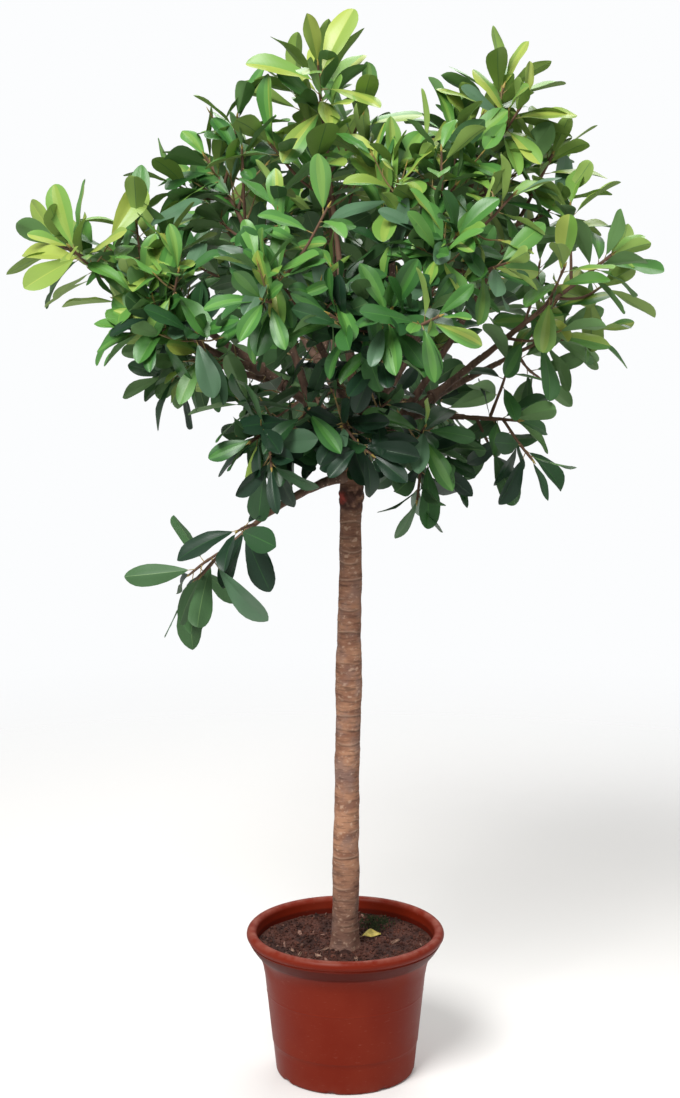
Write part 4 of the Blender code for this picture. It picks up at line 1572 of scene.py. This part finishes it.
@dataclass
class Limbs:
    """The trunk and the boughs, as meshes with the relief of their bark."""

    growth: Growth
    sides: int = 72
    path_steps: int = 12
    ring_spacing: float = 0.0017
    lump: Ripple = Ripple(0.042, 3)
    lump_height: float = 0.0007
    streak: Ripple = Ripple(0.006, 4, (1.0, 1.0, 0.35))
    streak_height: float = 0.0002
    scar_seed: int = 11
    scar_spacing: tuple[float, float] = (0.012, 0.030)
    scar_margin: float = 0.02
    scar_width: float = 0.0014
    scar_wobble: float = 0.0018
    scar_arc: float = 1.4
    scar_strength: tuple[float, float] = (0.2, 0.9)
    scar_height: float = 0.00045
    scar_pallor: float = 0.48
    lip_drop: float = 1.7
    lip_strength: float = 0.55
    crack_depth: float = 0.0006
    seam: Ripple = Ripple(0.007, 6, (0.35, 0.35, 1.6))
    seam_level: float = 1.25
    seam_contrast: float = 1.6
    seam_strength: float = 0.6
    patch: Ripple = Ripple(0.045, 7)
    patch_contrast: float = 1.5
    patch_share: float = 0.2
    spots: tuple[Ripple, Ripple] = (Ripple(0.0060, 9, (1.0, 1.0, 0.8)), Ripple(0.0026, 10))
    fine_spots: float = 0.5
    spot_level: float = 1.9
    spot_contrast: float = 1.8
    root_lobes: int = 5
    root_lobe: float = 0.0035
    root_turn: float = 0.6
    root_swell: tuple[float, float] = (0.3, 0.35)
    flare_height: float = 0.030
    collar: Ripple = Ripple(0.010, 5)
    collar_height: float = 1.005
    collar_width: float = 0.016
    collar_relief: float = 0.0011
    wound: Ripple = Ripple(0.006, 8)
    wound_turn: float = 215.0
    wound_width: float = 0.55
    wound_height: float = 0.009
    wound_contrast: tuple[float, float] = (1.7, 0.4)
    wound_cut: float = 0.25
    wound_strength: float = 0.9
    dome: float = 0.016
    dome_depth: float = 0.75
    bough_sides: int = 24
    bough_rings: int = 70
    buried_in_trunk: float = 0.019
    buried_in_bough: float = 0.008
    bough_collar: float = 0.55
    bough_collar_length: float = 0.010
    bough_lump: float = 0.012
    bough_relief: float = 0.05
    knot_spacing: float = 0.034
    knot_sharpness: int = 14

    def make_trunk(self) -> bpy.types.Object:
        """Makes the trunk, from the soil to the fork.

        Returns:
            The piece.
        """
        rows = smooth_path(TRUNK, self.path_steps)
        low, high = rows[0, 0], rows[-1, 0]
        count = round((high - low) / self.ring_spacing)
        height = np.linspace(low, high, count)
        lean = np.interp(height, rows[:, 0], rows[:, 1])
        radius = np.interp(height, rows[:, 0], rows[:, 2])
        turn = round_turns(self.sides)
        out = turned(1.0, 0.0, turn)
        centre = np.stack([lean, np.zeros(count), height], axis=-1)
        rings = centre[:, None] + out * radius[:, None, None]
        relief, marks = self.bark_relief(rings, height, turn)
        near_top = np.clip((height - (high - self.dome)) / self.dome, 0.0, 1.0)
        cap = np.sqrt(1.0 - self.dome_depth * near_top**2)
        rings = centre[:, None] + out * ((radius * cap)[:, None] + relief)[..., None]
        pile = MeshPile()
        pile.add_sleeve(rings, centre[[0, -1]])
        made = pile.build("trunk_bark", [OldBark().make()])
        add_marks(made, marks)
        return dress(made, ["trunk"])

    def bark_relief(
        self, rings: np.ndarray, height: np.ndarray, turn: np.ndarray
    ) -> tuple[np.ndarray, dict[str, np.ndarray]]:
        """Works out the trunk's relief and where its scars, cracks and wound are.

        Args:
            rings: The smooth trunk's points, by ring and side.
            height: The height of each ring.
            turn: The turn of each side.

        Returns:
            The relief in metres, and for each mark a share for each point.
        """
        rng = np.random.default_rng(self.scar_seed)
        relief = self.lump_height * self.lump.at(rings) + self.streak_height * self.streak.at(rings)
        foot = np.exp(-(height - height[0]) / self.flare_height)[:, None]
        swell, lobe = self.root_swell
        relief += self.root_lobe * foot * (swell + lobe * np.cos(self.root_lobes * turn + self.root_turn))
        ring = hump(height - self.collar_height, self.collar_width)[:, None]
        relief += self.collar_relief * ring * self.collar.at(rings)
        scar = np.zeros(rings.shape[:2])
        crack = np.zeros(rings.shape[:2])
        level = height[0] + self.scar_margin
        while level < height[-1] - self.scar_margin:
            level += rng.uniform(*self.scar_spacing)
            wobble = self.scar_wobble * np.sin(turn * rng.integers(1, 3) + rng.uniform(0.0, math.tau))
            arc = self.scar_arc * np.cos(turn - rng.uniform(0.0, math.tau)) + rng.uniform(0.0, 1.0)
            arc = np.clip(arc, 0.0, 1.0)
            above = height[:, None] - level - wobble
            scar = np.maximum(scar, hump(above, self.scar_width) * arc * rng.uniform(*self.scar_strength))
            lip = hump(above + self.lip_drop * self.scar_width, self.scar_width)
            crack = np.maximum(crack, self.lip_strength * lip * arc)
        patch = np.clip(self.patch.at(rings) * self.patch_contrast + self.patch_share, 0.0, 1.0)
        seams = np.clip((self.seam.at(rings) - self.seam_level) * self.seam_contrast, 0.0, 1.0)
        crack = np.maximum(crack, self.seam_strength * (seams * patch))
        spots = self.spots[0].at(rings) + self.fine_spots * self.spots[1].at(rings)
        scar = np.maximum(scar, np.clip((spots - self.spot_level) * self.spot_contrast, 0.0, 1.0))
        relief += self.scar_height * scar - self.crack_depth * crack
        wound = hump(turn - math.radians(self.wound_turn), self.wound_width)[None]
        wound = wound * hump(height - self.collar_height, self.wound_height)[:, None]
        even, ragged = self.wound_contrast
        wound = np.clip(wound * (even + ragged * self.wound.at(rings)) - self.wound_cut, 0.0, 1.0)
        marks = {"scar": self.scar_pallor * scar, "crack": crack, "wound": self.wound_strength * wound}
        return relief, marks

    def make_boughs(self) -> bpy.types.Object:
        """Makes all boughs, each with a collar where it leaves its limb.

        Returns:
            The piece.
        """
        habit = self.growth.habit
        pile = MeshPile()
        for branch in BRANCHES:
            points = self.growth.branch_path(branch, 2 * (self.bough_rings - 1))
            path = np.array([tuple(p) for p in points[: self.bough_rings]])
            share = np.linspace(0.0, 1.0, self.bough_rings)
            radii = np.interp(share, np.linspace(0, 1, habit.bough_steps + 1), habit.limb_radii(branch))
            walked = np.concatenate([[0.0], np.cumsum(np.linalg.norm(np.diff(path, axis=0), axis=1))])
            buried = self.buried_in_trunk if branch.parent == "trunk" else self.buried_in_bough
            clear = np.maximum(0.0, walked - buried)
            radii = radii * (1.0 + self.bough_collar * np.exp(-clear / self.bough_collar_length))
            rings, out = tube_rings(path, radii, self.bough_sides)
            beat = np.sin(walked * math.tau / self.knot_spacing + branch.seed)
            knots = np.maximum(0.0, beat) ** self.knot_sharpness
            lumps = Ripple(self.bough_lump, branch.seed).at(rings)
            relief = self.bough_relief * (lumps + knots[:, None])
            pile.add_sleeve(rings + out * (relief * radii[:, None])[..., None], path[[0, -1]])
        made = pile.build("boughs_bark", [YoungBark().make()])
        return dress(made, [f"bough_{branch.name}" for branch in BRANCHES])


@dataclass
class NurseryPot:
    """The turned pot: foot with its low step, tapering body, cove, flared collar, rolled rim."""

    facets: int = 192
    rim_radius: float = 0.1700
    rim_roll: float = 0.0087
    rim_height: float = 0.2458
    groove: tuple[float, float] = (0.1645, 0.2365)
    collar_top: tuple[float, float] = (0.1655, 0.2350)
    collar_foot: tuple[float, float] = (0.1530, 0.2160)
    cove_top: tuple[float, float] = (0.1512, 0.2145)
    cove_corner: tuple[float, float] = (0.1428, 0.2028)
    cove_foot: tuple[float, float] = (0.1405, 0.1860)
    ground_radius: float = 0.1205
    flare: float = 0.1030
    step_height: float = 0.0555
    step: float = 0.0008
    foot_rounding: float = 0.0060
    ring_height: float = 0.1450
    ring_relief: float = 0.0004
    ring_width: float = 0.0012
    wall: float = 0.0030
    floor: float = 0.0040
    soil_at_wall: float = 0.2262
    rim_tuck: float = 0.0006
    floor_rounding: float = 0.002
    rim_arc: tuple[float, float, int] = (180.0, -60.0, 26)
    foot_arc: tuple[float, float, int] = (0.0, -90.0, 8)
    groove_bow: tuple[float, int] = (-0.0004, 3)
    collar_bow: tuple[float, int] = (0.0007, 10)
    cove_points: int = 15
    slots: int = 8
    slot_turn: float = 258.0
    slot_width: float = 0.013
    slot_height: float = 0.0055
    slot_depth: float = 0.0040
    inner_points: int = 6
    inner_radius: float = 0.02
    stand_radius: float = 0.108
    underside: tuple[tuple[float, float], ...] = (
        (0.1055, 0.0018), (0.060, 0.0018), (0.0585, 0.0010), (0.02, 0.0010)
    )
    body_levels: tuple[float, ...] = (0.175, 0.165, 0.155)
    lower_levels: tuple[float, ...] = (0.13, 0.11, 0.09, 0.07, 0.058)
    foot_levels: tuple[float, ...] = (0.045, 0.035, 0.025, 0.018, 0.014, 0.011, 0.009, 0.0075)
    step_edge: float = 0.0004
    step_shares: tuple[float, float] = (0.3, 0.0012)
    slot_softness: tuple[float, float] = (1.6, 1.4)
    slot_run: float = 0.006
    wobble: Ripple = Ripple(0.12, 21)
    wobble_share: float = 0.002
    # The pale mark is dust on the foot; on the rim's top it is dust and a painted highlight.
    rim_clean: float = 0.002
    rim_dust_and_highlight: float = 0.60
    rim_fade: float = 0.008
    foot_dust: float = 0.20
    foot_fade: float = 0.012

    def body_radius(self, height: float) -> float:
        """Outer radius of the body, with its faint moulding ring."""
        ring = self.ring_relief * hump(height - self.ring_height, self.ring_width)
        return self.ground_radius + self.flare * height + ring

    def arc(
        self, centre: tuple[float, float], radius: float, start: float, end: float, steps: int
    ) -> list[tuple[float, float]]:
        """Points of an arc in the profile's plane, from one angle to another in degrees."""
        angles = [math.radians(start + (end - start) * i / steps) for i in range(steps + 1)]
        return [(centre[0] + radius * math.cos(a), centre[1] + radius * math.sin(a)) for a in angles]

    def profile(self) -> list[tuple[float, float]]:
        """Works out the outline that the pot is turned from.

        Returns:
            Radius and height along its whole skin, from the inner floor up and round.
        """
        wall, body = self.wall, self.body_radius
        points = [
            (self.inner_radius, self.floor),
            (body(self.floor) - wall - self.floor_rounding, self.floor),
            (body(self.floor + self.floor_rounding) - wall, self.floor + self.floor_rounding),
            (self.cove_foot[0] - wall, self.cove_foot[1]),
            (self.cove_top[0] - wall, self.cove_top[1]),
            (self.rim_radius - 2 * self.rim_roll - self.rim_tuck, self.soil_at_wall),
        ]
        rim = (self.rim_radius - self.rim_roll, self.rim_height)
        points += self.arc(rim, self.rim_roll, *self.rim_arc)
        points += self.bowed(self.groove, self.collar_top, *self.groove_bow)
        points += self.bowed(self.collar_top, self.collar_foot, *self.collar_bow)[1:]
        cove = np.array([self.cove_top, self.cove_corner, self.cove_foot])
        for t in np.linspace(0.0, 1.0, self.cove_points):
            points.append(tuple(np.array([(1 - t) ** 2, 2 * t * (1 - t), t * t]) @ cove))
        ring = [self.ring_height + self.ring_width / 2 * k for k in range(6, -7, -1)]
        levels = [*self.body_levels, *ring, *self.lower_levels, self.step_height + self.step_edge]
        points += [(body(z), z) for z in levels]
        share, drop = self.step_shares
        points.append((body(self.step_height) - share * self.step, self.step_height))
        points += [(body(z) - self.step, z) for z in (self.step_height - drop, *self.foot_levels)]
        foot = (body(self.foot_rounding) - self.step - self.foot_rounding, self.foot_rounding)
        points += self.arc(foot, self.foot_rounding, *self.foot_arc)
        points += [(self.stand_radius, 0.0), *self.underside]
        return points

    def bowed(
        self, start: tuple[float, float], end: tuple[float, float], bow: float, steps: int
    ) -> list[tuple[float, float]]:
        """Points of a line between two points of the profile, whose middle stands out by a bow."""
        rows = [(t, 4 * bow * t * (1 - t)) for t in (i / steps for i in range(steps + 1))]
        return [(start[0] + (end[0] - start[0]) * t + b, start[1] + (end[1] - start[1]) * t) for t, b in rows]

    def build(self) -> bpy.types.Object:
        """Makes the pot.

        Returns:
            The piece.
        """
        profile = np.array(self.profile())
        turn = round_turns(self.facets)
        radius = np.repeat(profile[:, :1], self.facets, axis=1)
        height = np.repeat(profile[:, 1:], self.facets, axis=1)
        outside = np.arange(len(profile)) >= self.inner_points
        period = math.tau / self.slots
        offset = (turn - math.radians(self.slot_turn) + period / 2) % period - period / 2
        wide, high = self.slot_softness
        beside = np.clip(wide - np.abs(offset) * self.ground_radius / (self.slot_width / 2), 0.0, 1.0)
        near_foot = np.clip(high - height / self.slot_height, 0.0, 1.0) * outside[:, None]
        near_edge = np.clip((radius - self.stand_radius) / self.slot_run, 0.0, 1.0)
        radius = radius - self.slot_depth * beside * near_foot * near_edge
        rings = turned(radius, height, turn)
        rings[..., :2] *= (1.0 + self.wobble_share * self.wobble.at(rings))[..., None]
        pile = MeshPile()
        pile.add_sleeve(rings[:, ::-1], ([0.0, 0.0, self.floor], [0.0, 0.0, self.underside[-1][1]]))
        made = pile.build("pot_wall", [MouldedPolypropylene().make()], sharp=40.0)
        # Pale mark: dust on the foot, dust and a painted highlight on the rim's top.
        rim = np.clip((height - self.rim_height - self.rim_clean) / self.rim_fade, 0.0, 1.0)
        foot = np.exp(-height / self.foot_fade)
        add_marks(made, {"dust_and_highlight": self.rim_dust_and_highlight * rim + self.foot_dust * foot})
        return dress(made, ["pot"])


@dataclass
class PottingMix:
    """The soil with its crumbs, chips, husks, moss and one fallen leaf."""

    foliage: Foliage
    stem_level: float = 0.2190
    wall_level: float = 0.2262
    flat_radius: float = 0.0450
    radius: float = 0.1514
    facets: int = 220
    rings: int = 90
    roughness: float = 0.0016
    ripples: tuple[tuple[float, Ripple], ...] = (
        (1.0, Ripple(0.030, 31)), (0.6, Ripple(0.011, 32)), (0.4, Ripple(0.005, 33))
    )
    inner_share: float = 0.012
    ring_power: float = 0.85
    edge_slack: float = 0.002
    calm_edge: float = 0.012
    least_rough: float = 0.15
    flanks: tuple[tuple[float, float], ...] = (
        (0.1481, 0.2145), (0.1370, 0.1860), (0.1180, 0.0065), (0.1150, 0.0043)
    )
    crumbs: int = 2300
    crumb_size: tuple[float, float] = (0.0008, 0.0034)
    chips: int = 110
    chip_size: tuple[float, float] = (0.0018, 0.0042)
    crumb_flat: float = 0.2
    chip_flat: float = 0.9
    flat_stretch: tuple[float, float] = (1.5, 0.65)
    clear_of_stem: float = 0.030
    strewn_share: float = 0.97
    lump_sides: int = 6
    lump_tilts: tuple[float, ...] = (-50.0, 0.0, 50.0)
    lump_scatter: tuple[float, float] = (0.75, 1.15)
    lump_power: float = 2.5
    lump_lift: float = 0.35
    husk_places: tuple[tuple[float, float], ...] = (
        (-0.0774, -0.0382), (-0.0915, -0.0194), (-0.0466, -0.0482), (-0.0349, -0.0151),
        (-0.0650, -0.0640), (-0.0990, -0.0420), (0.0180, -0.0700), (0.0870, 0.0150),
    )
    husk_seed: int = 44
    husk_points: int = 10
    husk_lift: float = 0.7
    husk_taper: float = 1.1
    husk_length: tuple[float, float] = (0.010, 0.018)
    husk_radius: tuple[float, float] = (0.0022, 0.0036)
    husk_wall: float = 0.84
    husk_rings: int = 7
    husk_rise: tuple[float, float] = (-0.1, 0.2)
    husk_opening: tuple[float, float] = (0.5, 1.1)
    husk_roll: float = 0.8
    moss_place: tuple[float, float] = (0.055, 0.100)
    moss_spread: tuple[float, float] = (0.012, 0.015)
    moss_height: tuple[float, float] = (0.0025, 0.006)
    moss_tufts: int = 420
    moss_seed: int = 45
    moss_margin: float = 0.006
    moss_lean: float = 0.0012
    moss_root: float = 0.001
    moss_stations: tuple[float, ...] = (0.0, 0.4, 0.8)
    moss_radii: tuple[float, ...] = (0.0011, 0.0009, 0.0005)
    moss_sides: int = 5
    fallen_place: tuple[float, float] = (0.0250, 0.0300)
    fallen_length: float = 0.048
    fallen_bend: float = 34.0
    fallen_aim: tuple[float, float, float] = (0.84, 0.50, 0.20)
    fallen_face: tuple[float, float, float] = (-0.10, -0.60, 0.79)
    fallen_lift: float = 0.006
    fallen_seed: int = 5
    fallen_crumple: Ripple = Ripple(0.014, 46)
    fallen_crumple_height: float = 0.0016

    def level(self, x: np.ndarray, y: np.ndarray) -> np.ndarray:
        """Height of the soil's surface.

        Args:
            x: Sideways places.
            y: Places to the back.

        Returns:
            The heights.
        """
        far = np.hypot(x, y)
        share = np.clip((far - self.flat_radius) / (self.radius - self.flat_radius), 0.0, 1.0)
        points = np.stack([x, y], axis=-1)
        rough = sum(strength * ripple.at(points) for strength, ripple in self.ripples)
        calm = np.clip((self.radius + self.edge_slack - far) / self.calm_edge, self.least_rough, 1.0)
        return self.stem_level + (self.wall_level - self.stem_level) * share + self.roughness * rough * calm

    def ground(self, x: float, y: float) -> float:
        """Height of the soil's surface at one place."""
        return float(self.level(np.array(x), np.array(y)))

    def make_surface(self) -> bpy.types.Object:
        """Makes the body of the soil with its uneven surface.

        Returns:
            The piece.
        """
        turn = round_turns(self.facets)
        far = self.radius * np.linspace(self.inner_share, 1.0, self.rings)[:, None] ** self.ring_power
        top = turned(far, 0.0, turn)
        top[..., 2] = self.level(top[..., 0], top[..., 1])
        flanks = np.array(self.flanks)
        rings = np.concatenate([top, turned(flanks[:, :1], flanks[:, 1:], turn)])[::-1]
        pile = MeshPile()
        pile.add_sleeve(rings, ([0.0, 0.0, self.flanks[-1][1]], [0.0, 0.0, self.stem_level]))
        peat = Crumbly("moist_peat", "#3B1F16", "#4F2D22", grain=0.004, depth=0.0012, damp="#24110C")
        return dress(pile.build("soil_surface", [peat.make()], sharp=180.0), ["soil"])

    def lump(self, rng: np.random.Generator, middle: np.ndarray, size: np.ndarray) -> np.ndarray:
        """Shapes one uneven lump.

        Args:
            rng: The source of chance.
            middle: Its middle.
            size: Its half sizes along its own axes.

        Returns:
            Its points, ring by ring, with its two ends first and last.
        """
        tilt = np.radians(self.lump_tilts)[:, None]
        shape = turned(np.cos(tilt), np.sin(tilt), round_turns(self.lump_sides)).reshape(-1, 3)
        shape = np.vstack([[0.0, 0.0, -1.0], shape, [0.0, 0.0, 1.0]])
        shape = shape * rng.uniform(*self.lump_scatter, (len(shape), 1)) * size
        way = Quaternion(rng.normal(size=4)).normalized().to_matrix()
        return shape @ np.array(way).T + middle

    def scatter(
        self,
        name: str,
        count: int,
        size: tuple[float, float],
        flat: float,
        finish: Sequence[Crumbly],
        seed: int,
    ) -> bpy.types.Object:
        """Strews lumps over the soil.

        Args:
            name: The piece's name.
            count: The number of lumps.
            size: The least and greatest half size.
            flat: How flat and long they are, from 0 to 1.
            finish: The finishes that they are dealt.
            seed: The seed of its chance.

        Returns:
            The piece.
        """
        rng = np.random.default_rng(seed)
        longer, thinner = self.flat_stretch
        pile = MeshPile()
        while count > 0:
            far = self.radius * math.sqrt(rng.uniform(0.0, self.strewn_share))
            turn = rng.uniform(0.0, math.tau)
            if far < self.clear_of_stem:
                continue
            count -= 1
            x, y = far * math.cos(turn), far * math.sin(turn)
            half = size[0] + (size[1] - size[0]) * rng.uniform() ** self.lump_power
            reach = half * np.array([1.0 + longer * flat, 1.0, 1.0 - thinner * flat])
            middle = np.array([x, y, self.ground(x, y) + self.lump_lift * half])
            points = self.lump(rng, middle, reach)
            rings = points[1:-1].reshape(-1, self.lump_sides, 3)
            pile.add_sleeve(rings, points[[0, -1]], rng.integers(len(finish)))
        return dress(pile.build(name, [f.make() for f in finish], sharp=30.0))

    def make_husks(self) -> bpy.types.Object:
        """Makes the pale curled husks that lie at the front left.

        Returns:
            The piece.
        """
        rng = np.random.default_rng(self.husk_seed)
        pile = MeshPile()
        for x, y in self.husk_places:
            length = rng.uniform(*self.husk_length)
            radius = rng.uniform(*self.husk_radius)
            heading = rng.uniform(0.0, math.pi)
            way = np.array([math.cos(heading), math.sin(heading), rng.uniform(*self.husk_rise)])
            across = np.array([-way[1], way[0], 0.0])
            ground = np.array([x, y, self.ground(x, y) + radius * self.husk_lift])
            opening = rng.uniform(*self.husk_opening)
            roll = math.pi / 2 + rng.uniform(-self.husk_roll, self.husk_roll)
            turns = np.linspace(opening, math.tau - opening, self.husk_points) + roll
            swept = np.concatenate([turns, turns[::-1]])[:, None]
            wall = np.repeat([1.0, self.husk_wall], len(turns))
            out = across * np.cos(swept) + np.array([0.0, 0.0, 1.0]) * np.sin(swept)
            stations = np.linspace(-0.5, 0.5, self.husk_rings)[:, None, None]
            narrow = radius * (1.0 - self.husk_taper * stations**2)
            rings = (ground + way * (stations * length) + out * (narrow * wall[:, None]))[:, ::-1]
            pile.add_sleeve(rings, rings[[0, -1]].mean(axis=1))
        husk = Crumbly("dry_husk", "#A08270", "#7A5A4B", grain=0.003, depth=0.0003, roughness=0.80)
        return dress(pile.build("husk_curls", [husk.make()], sharp=50.0))

    def make_moss(self) -> bpy.types.Object:
        """Makes the dark mossy cushion at the back, on the right.

        Returns:
            The piece.
        """
        rng = np.random.default_rng(self.moss_seed)
        pile = MeshPile()
        for _ in range(self.moss_tufts):
            x, y = (at + rng.normal(0.0, far) for at, far in zip(self.moss_place, self.moss_spread))
            if math.hypot(x, y) > self.radius - self.moss_margin:
                continue
            ground = self.ground(x, y)
            lift = [0.0, 0.0, rng.uniform(*self.moss_height)]
            tip = np.array([x, y, ground]) + rng.normal(0.0, self.moss_lean, 3) + lift
            base = np.array([x, y, ground - self.moss_root])
            line = base + (tip - base) * np.array(self.moss_stations)[:, None]
            rings, _ = tube_rings(line, np.array(self.moss_radii), self.moss_sides)
            pile.add_sleeve(rings, (base, tip))
        moss = Crumbly("dark_moss", "#1D2614", "#3C4524", grain=0.003, depth=0.0004)
        return dress(pile.build("moss_cushion", [moss.make()]))

    def make_fallen_leaf(self) -> bpy.types.Object:
        """Makes the crumpled yellow leaf beside the stem.

        Returns:
            The piece.
        """
        x, y = self.fallen_place
        start = Vector((x, y, self.ground(x, y) + self.fallen_lift))
        aim = Vector(self.fallen_aim).normalized()
        out = Vector(self.fallen_face)
        face = (out - aim * aim.dot(out)).normalized()
        leaf = Leaf(start, aim, face, self.fallen_length, math.radians(self.fallen_bend), 1.0)
        rings, ends = self.foliage.blades([leaf], np.random.default_rng(self.fallen_seed))
        crumple = self.fallen_crumple_height * self.fallen_crumple.at(rings)
        rings = rings + crumple[..., None] * np.array(face)
        sides = rings.shape[2]
        pile = MeshPile()
        pile.add_sleeves(rings, ends, np.zeros((1, sides), int), upper=sides // 2)
        rings, ends = self.foliage.stalks([leaf])
        pile.add_sleeves(rings, ends, np.ones((1, self.foliage.stalk_sides), int))
        withered = Crumbly("withered_leaf", "#C2AE55", "#93863C", grain=0.010, depth=0.0003, roughness=0.60)
        stalk = LeafTissue("withered_stalk", "#8B6F45", roughness=0.60)
        return dress(pile.build("fallen_leaf", [withered.make(), stalk.make()]))

    def build(self) -> None:
        """Builds the soil and what lies on it."""
        peat = Crumbly("peat_crumb", "#361B13", "#4B291E", grain=0.003, depth=0.0005, damp="#24110C")
        loam = Crumbly("loam_crumb", "#5C3427", "#46241A", grain=0.003, depth=0.0005, damp="#33190F")
        chip = Crumbly("bark_chip", "#5E3B2F", "#38201A", grain=0.004, depth=0.0006)
        wood = Crumbly("pale_chip", "#86675A", "#64463B", grain=0.004, depth=0.0005)
        self.make_surface()
        lumps = (self.crumbs, self.crumb_size, self.crumb_flat)
        self.scatter("soil_crumbs", *lumps, (peat, peat, loam), seed=41)
        lumps = (self.chips, self.chip_size, self.chip_flat)
        self.scatter("soil_chips", *lumps, (chip, chip, wood), seed=42)
        self.make_husks()
        self.make_moss()
        self.make_fallen_leaf()


@dataclass
class Studio:
    """A pale floor that fades into a pale surround, soft lights and the camera."""

    floor_radius: float = 3.4
    floor_sides: int = 96
    floor_rings: tuple[float, ...] = (0.1, 0.3, 0.6, 0.8, 1.0)
    floor_fade: tuple[float, float] = (0.95, 0.3)
    floor_colour: str = "#E6E4E1"
    surround: str = "#FCFDFE"
    surround_strength: float = 0.40
    backdrop_strength: float = 1.0
    camera_place: tuple[float, float, float] = (-0.009, -3.50, 1.55)
    camera_pitch: float = 10.25
    lens: float = 69.9
    sensor: float = 36.0
    lamp_aim: float = 1.1
    lamps: tuple[tuple[str, tuple[float, float, float], float, float], ...] = (
        ("key", (-1.5, -2.9, 4.3), 2.0, 300.0),
        ("fill", (3.0, -1.6, 3.4), 2.6, 30.0),
        ("back", (0.6, 2.6, 4.0), 2.6, 90.0),
    )

    def build(self) -> None:
        """Builds the studio."""
        self.make_floor()
        self.make_surround()
        self.add_lamps()
        self.add_camera()

    def make_floor(self) -> None:
        """Makes the floor, a disc that grows clear towards its edge."""
        turn = round_turns(self.floor_sides)
        far = self.floor_radius * np.array(self.floor_rings)[:, None]
        rings = turned(far, 0.0, turn)
        quads, triangles = sleeve_faces(len(far), len(turn), len(turn))
        points = np.vstack([[0.0, 0.0, 0.0], rings.reshape(-1, 3)])
        fan = triangles[: len(turn), ::-1]
        pile = MeshPile()
        pile.add(points, quads, fan, np.zeros(len(quads), int), np.zeros(len(fan), int))
        made, shader = new_material("matt_paper", roughness=0.85, ior=1.45)
        tree = made.node_tree
        place = add_node(tree, "ShaderNodeTexCoord", {}).outputs["Object"]
        far_out = add_node(tree, "ShaderNodeVectorMath", {0: place}, operation="LENGTH").outputs["Value"]
        outer, inner = self.floor_fade
        inputs = {0: far_out, 1: self.floor_radius * outer, 2: self.floor_radius * inner}
        clear = add_node(tree, "ShaderNodeMapRange", inputs, interpolation_type="SMOOTHSTEP")
        wire(shader, {"Base Color": linear(self.floor_colour), "Alpha": clear.outputs[0]})
        pile.build("studio_floor", [made])

    def make_surround(self) -> None:
        """Makes the even pale surround, which lights the plant less than the backdrop shows."""
        scene = bpy.context.scene
        scene.world = scene.world or bpy.data.worlds.new("surround")
        scene.world.use_nodes = True
        tree = scene.world.node_tree
        seen = add_node(tree, "ShaderNodeLightPath", {}).outputs["Is Camera Ray"]
        inputs = {0: seen, 3: self.surround_strength, 4: self.backdrop_strength}
        strength = add_node(tree, "ShaderNodeMapRange", inputs).outputs[0]
        wire(tree.nodes["Background"], {"Color": linear(self.surround), "Strength": strength})
        scene.view_settings.view_transform = "Standard"

    def add_lamps(self) -> None:
        """Adds the soft square lamps, which face the crown."""
        for name, place, size, power in self.lamps:
            lamp = bpy.data.lights.new(name, "AREA")
            lamp.size = size
            lamp.energy = power
            made = bpy.data.objects.new(name, lamp)
            made.location = place
            way = Vector((0.0, 0.0, self.lamp_aim)) - Vector(place)
            made.rotation_euler = way.to_track_quat("-Z", "Y").to_euler()
            bpy.context.scene.collection.objects.link(made)

    def add_camera(self) -> None:
        """Adds the camera, which looks along +Y and a little down."""
        data = bpy.data.cameras.new("camera")
        data.lens = self.lens
        data.sensor_width = self.sensor
        made = bpy.data.objects.new("camera", data)
        made.location = self.camera_place
        made.rotation_euler = (math.radians(90.0 - self.camera_pitch), 0.0, 0.0)
        bpy.context.scene.collection.objects.link(made)
        bpy.context.scene.camera = made


def main() -> None:
    """Builds the studio, the plant, the pot and the soil."""
    logging.basicConfig(level=logging.INFO, format="%(message)s")
    Studio().build()
    growth = Growth()
    growth.grow()
    limbs = Limbs(growth)
    limbs.make_trunk()
    limbs.make_boughs()
    foliage = Foliage(growth)
    foliage.build()
    NurseryPot().build()
    PottingMix(foliage).build()


if __name__ == "__main__":
    main()
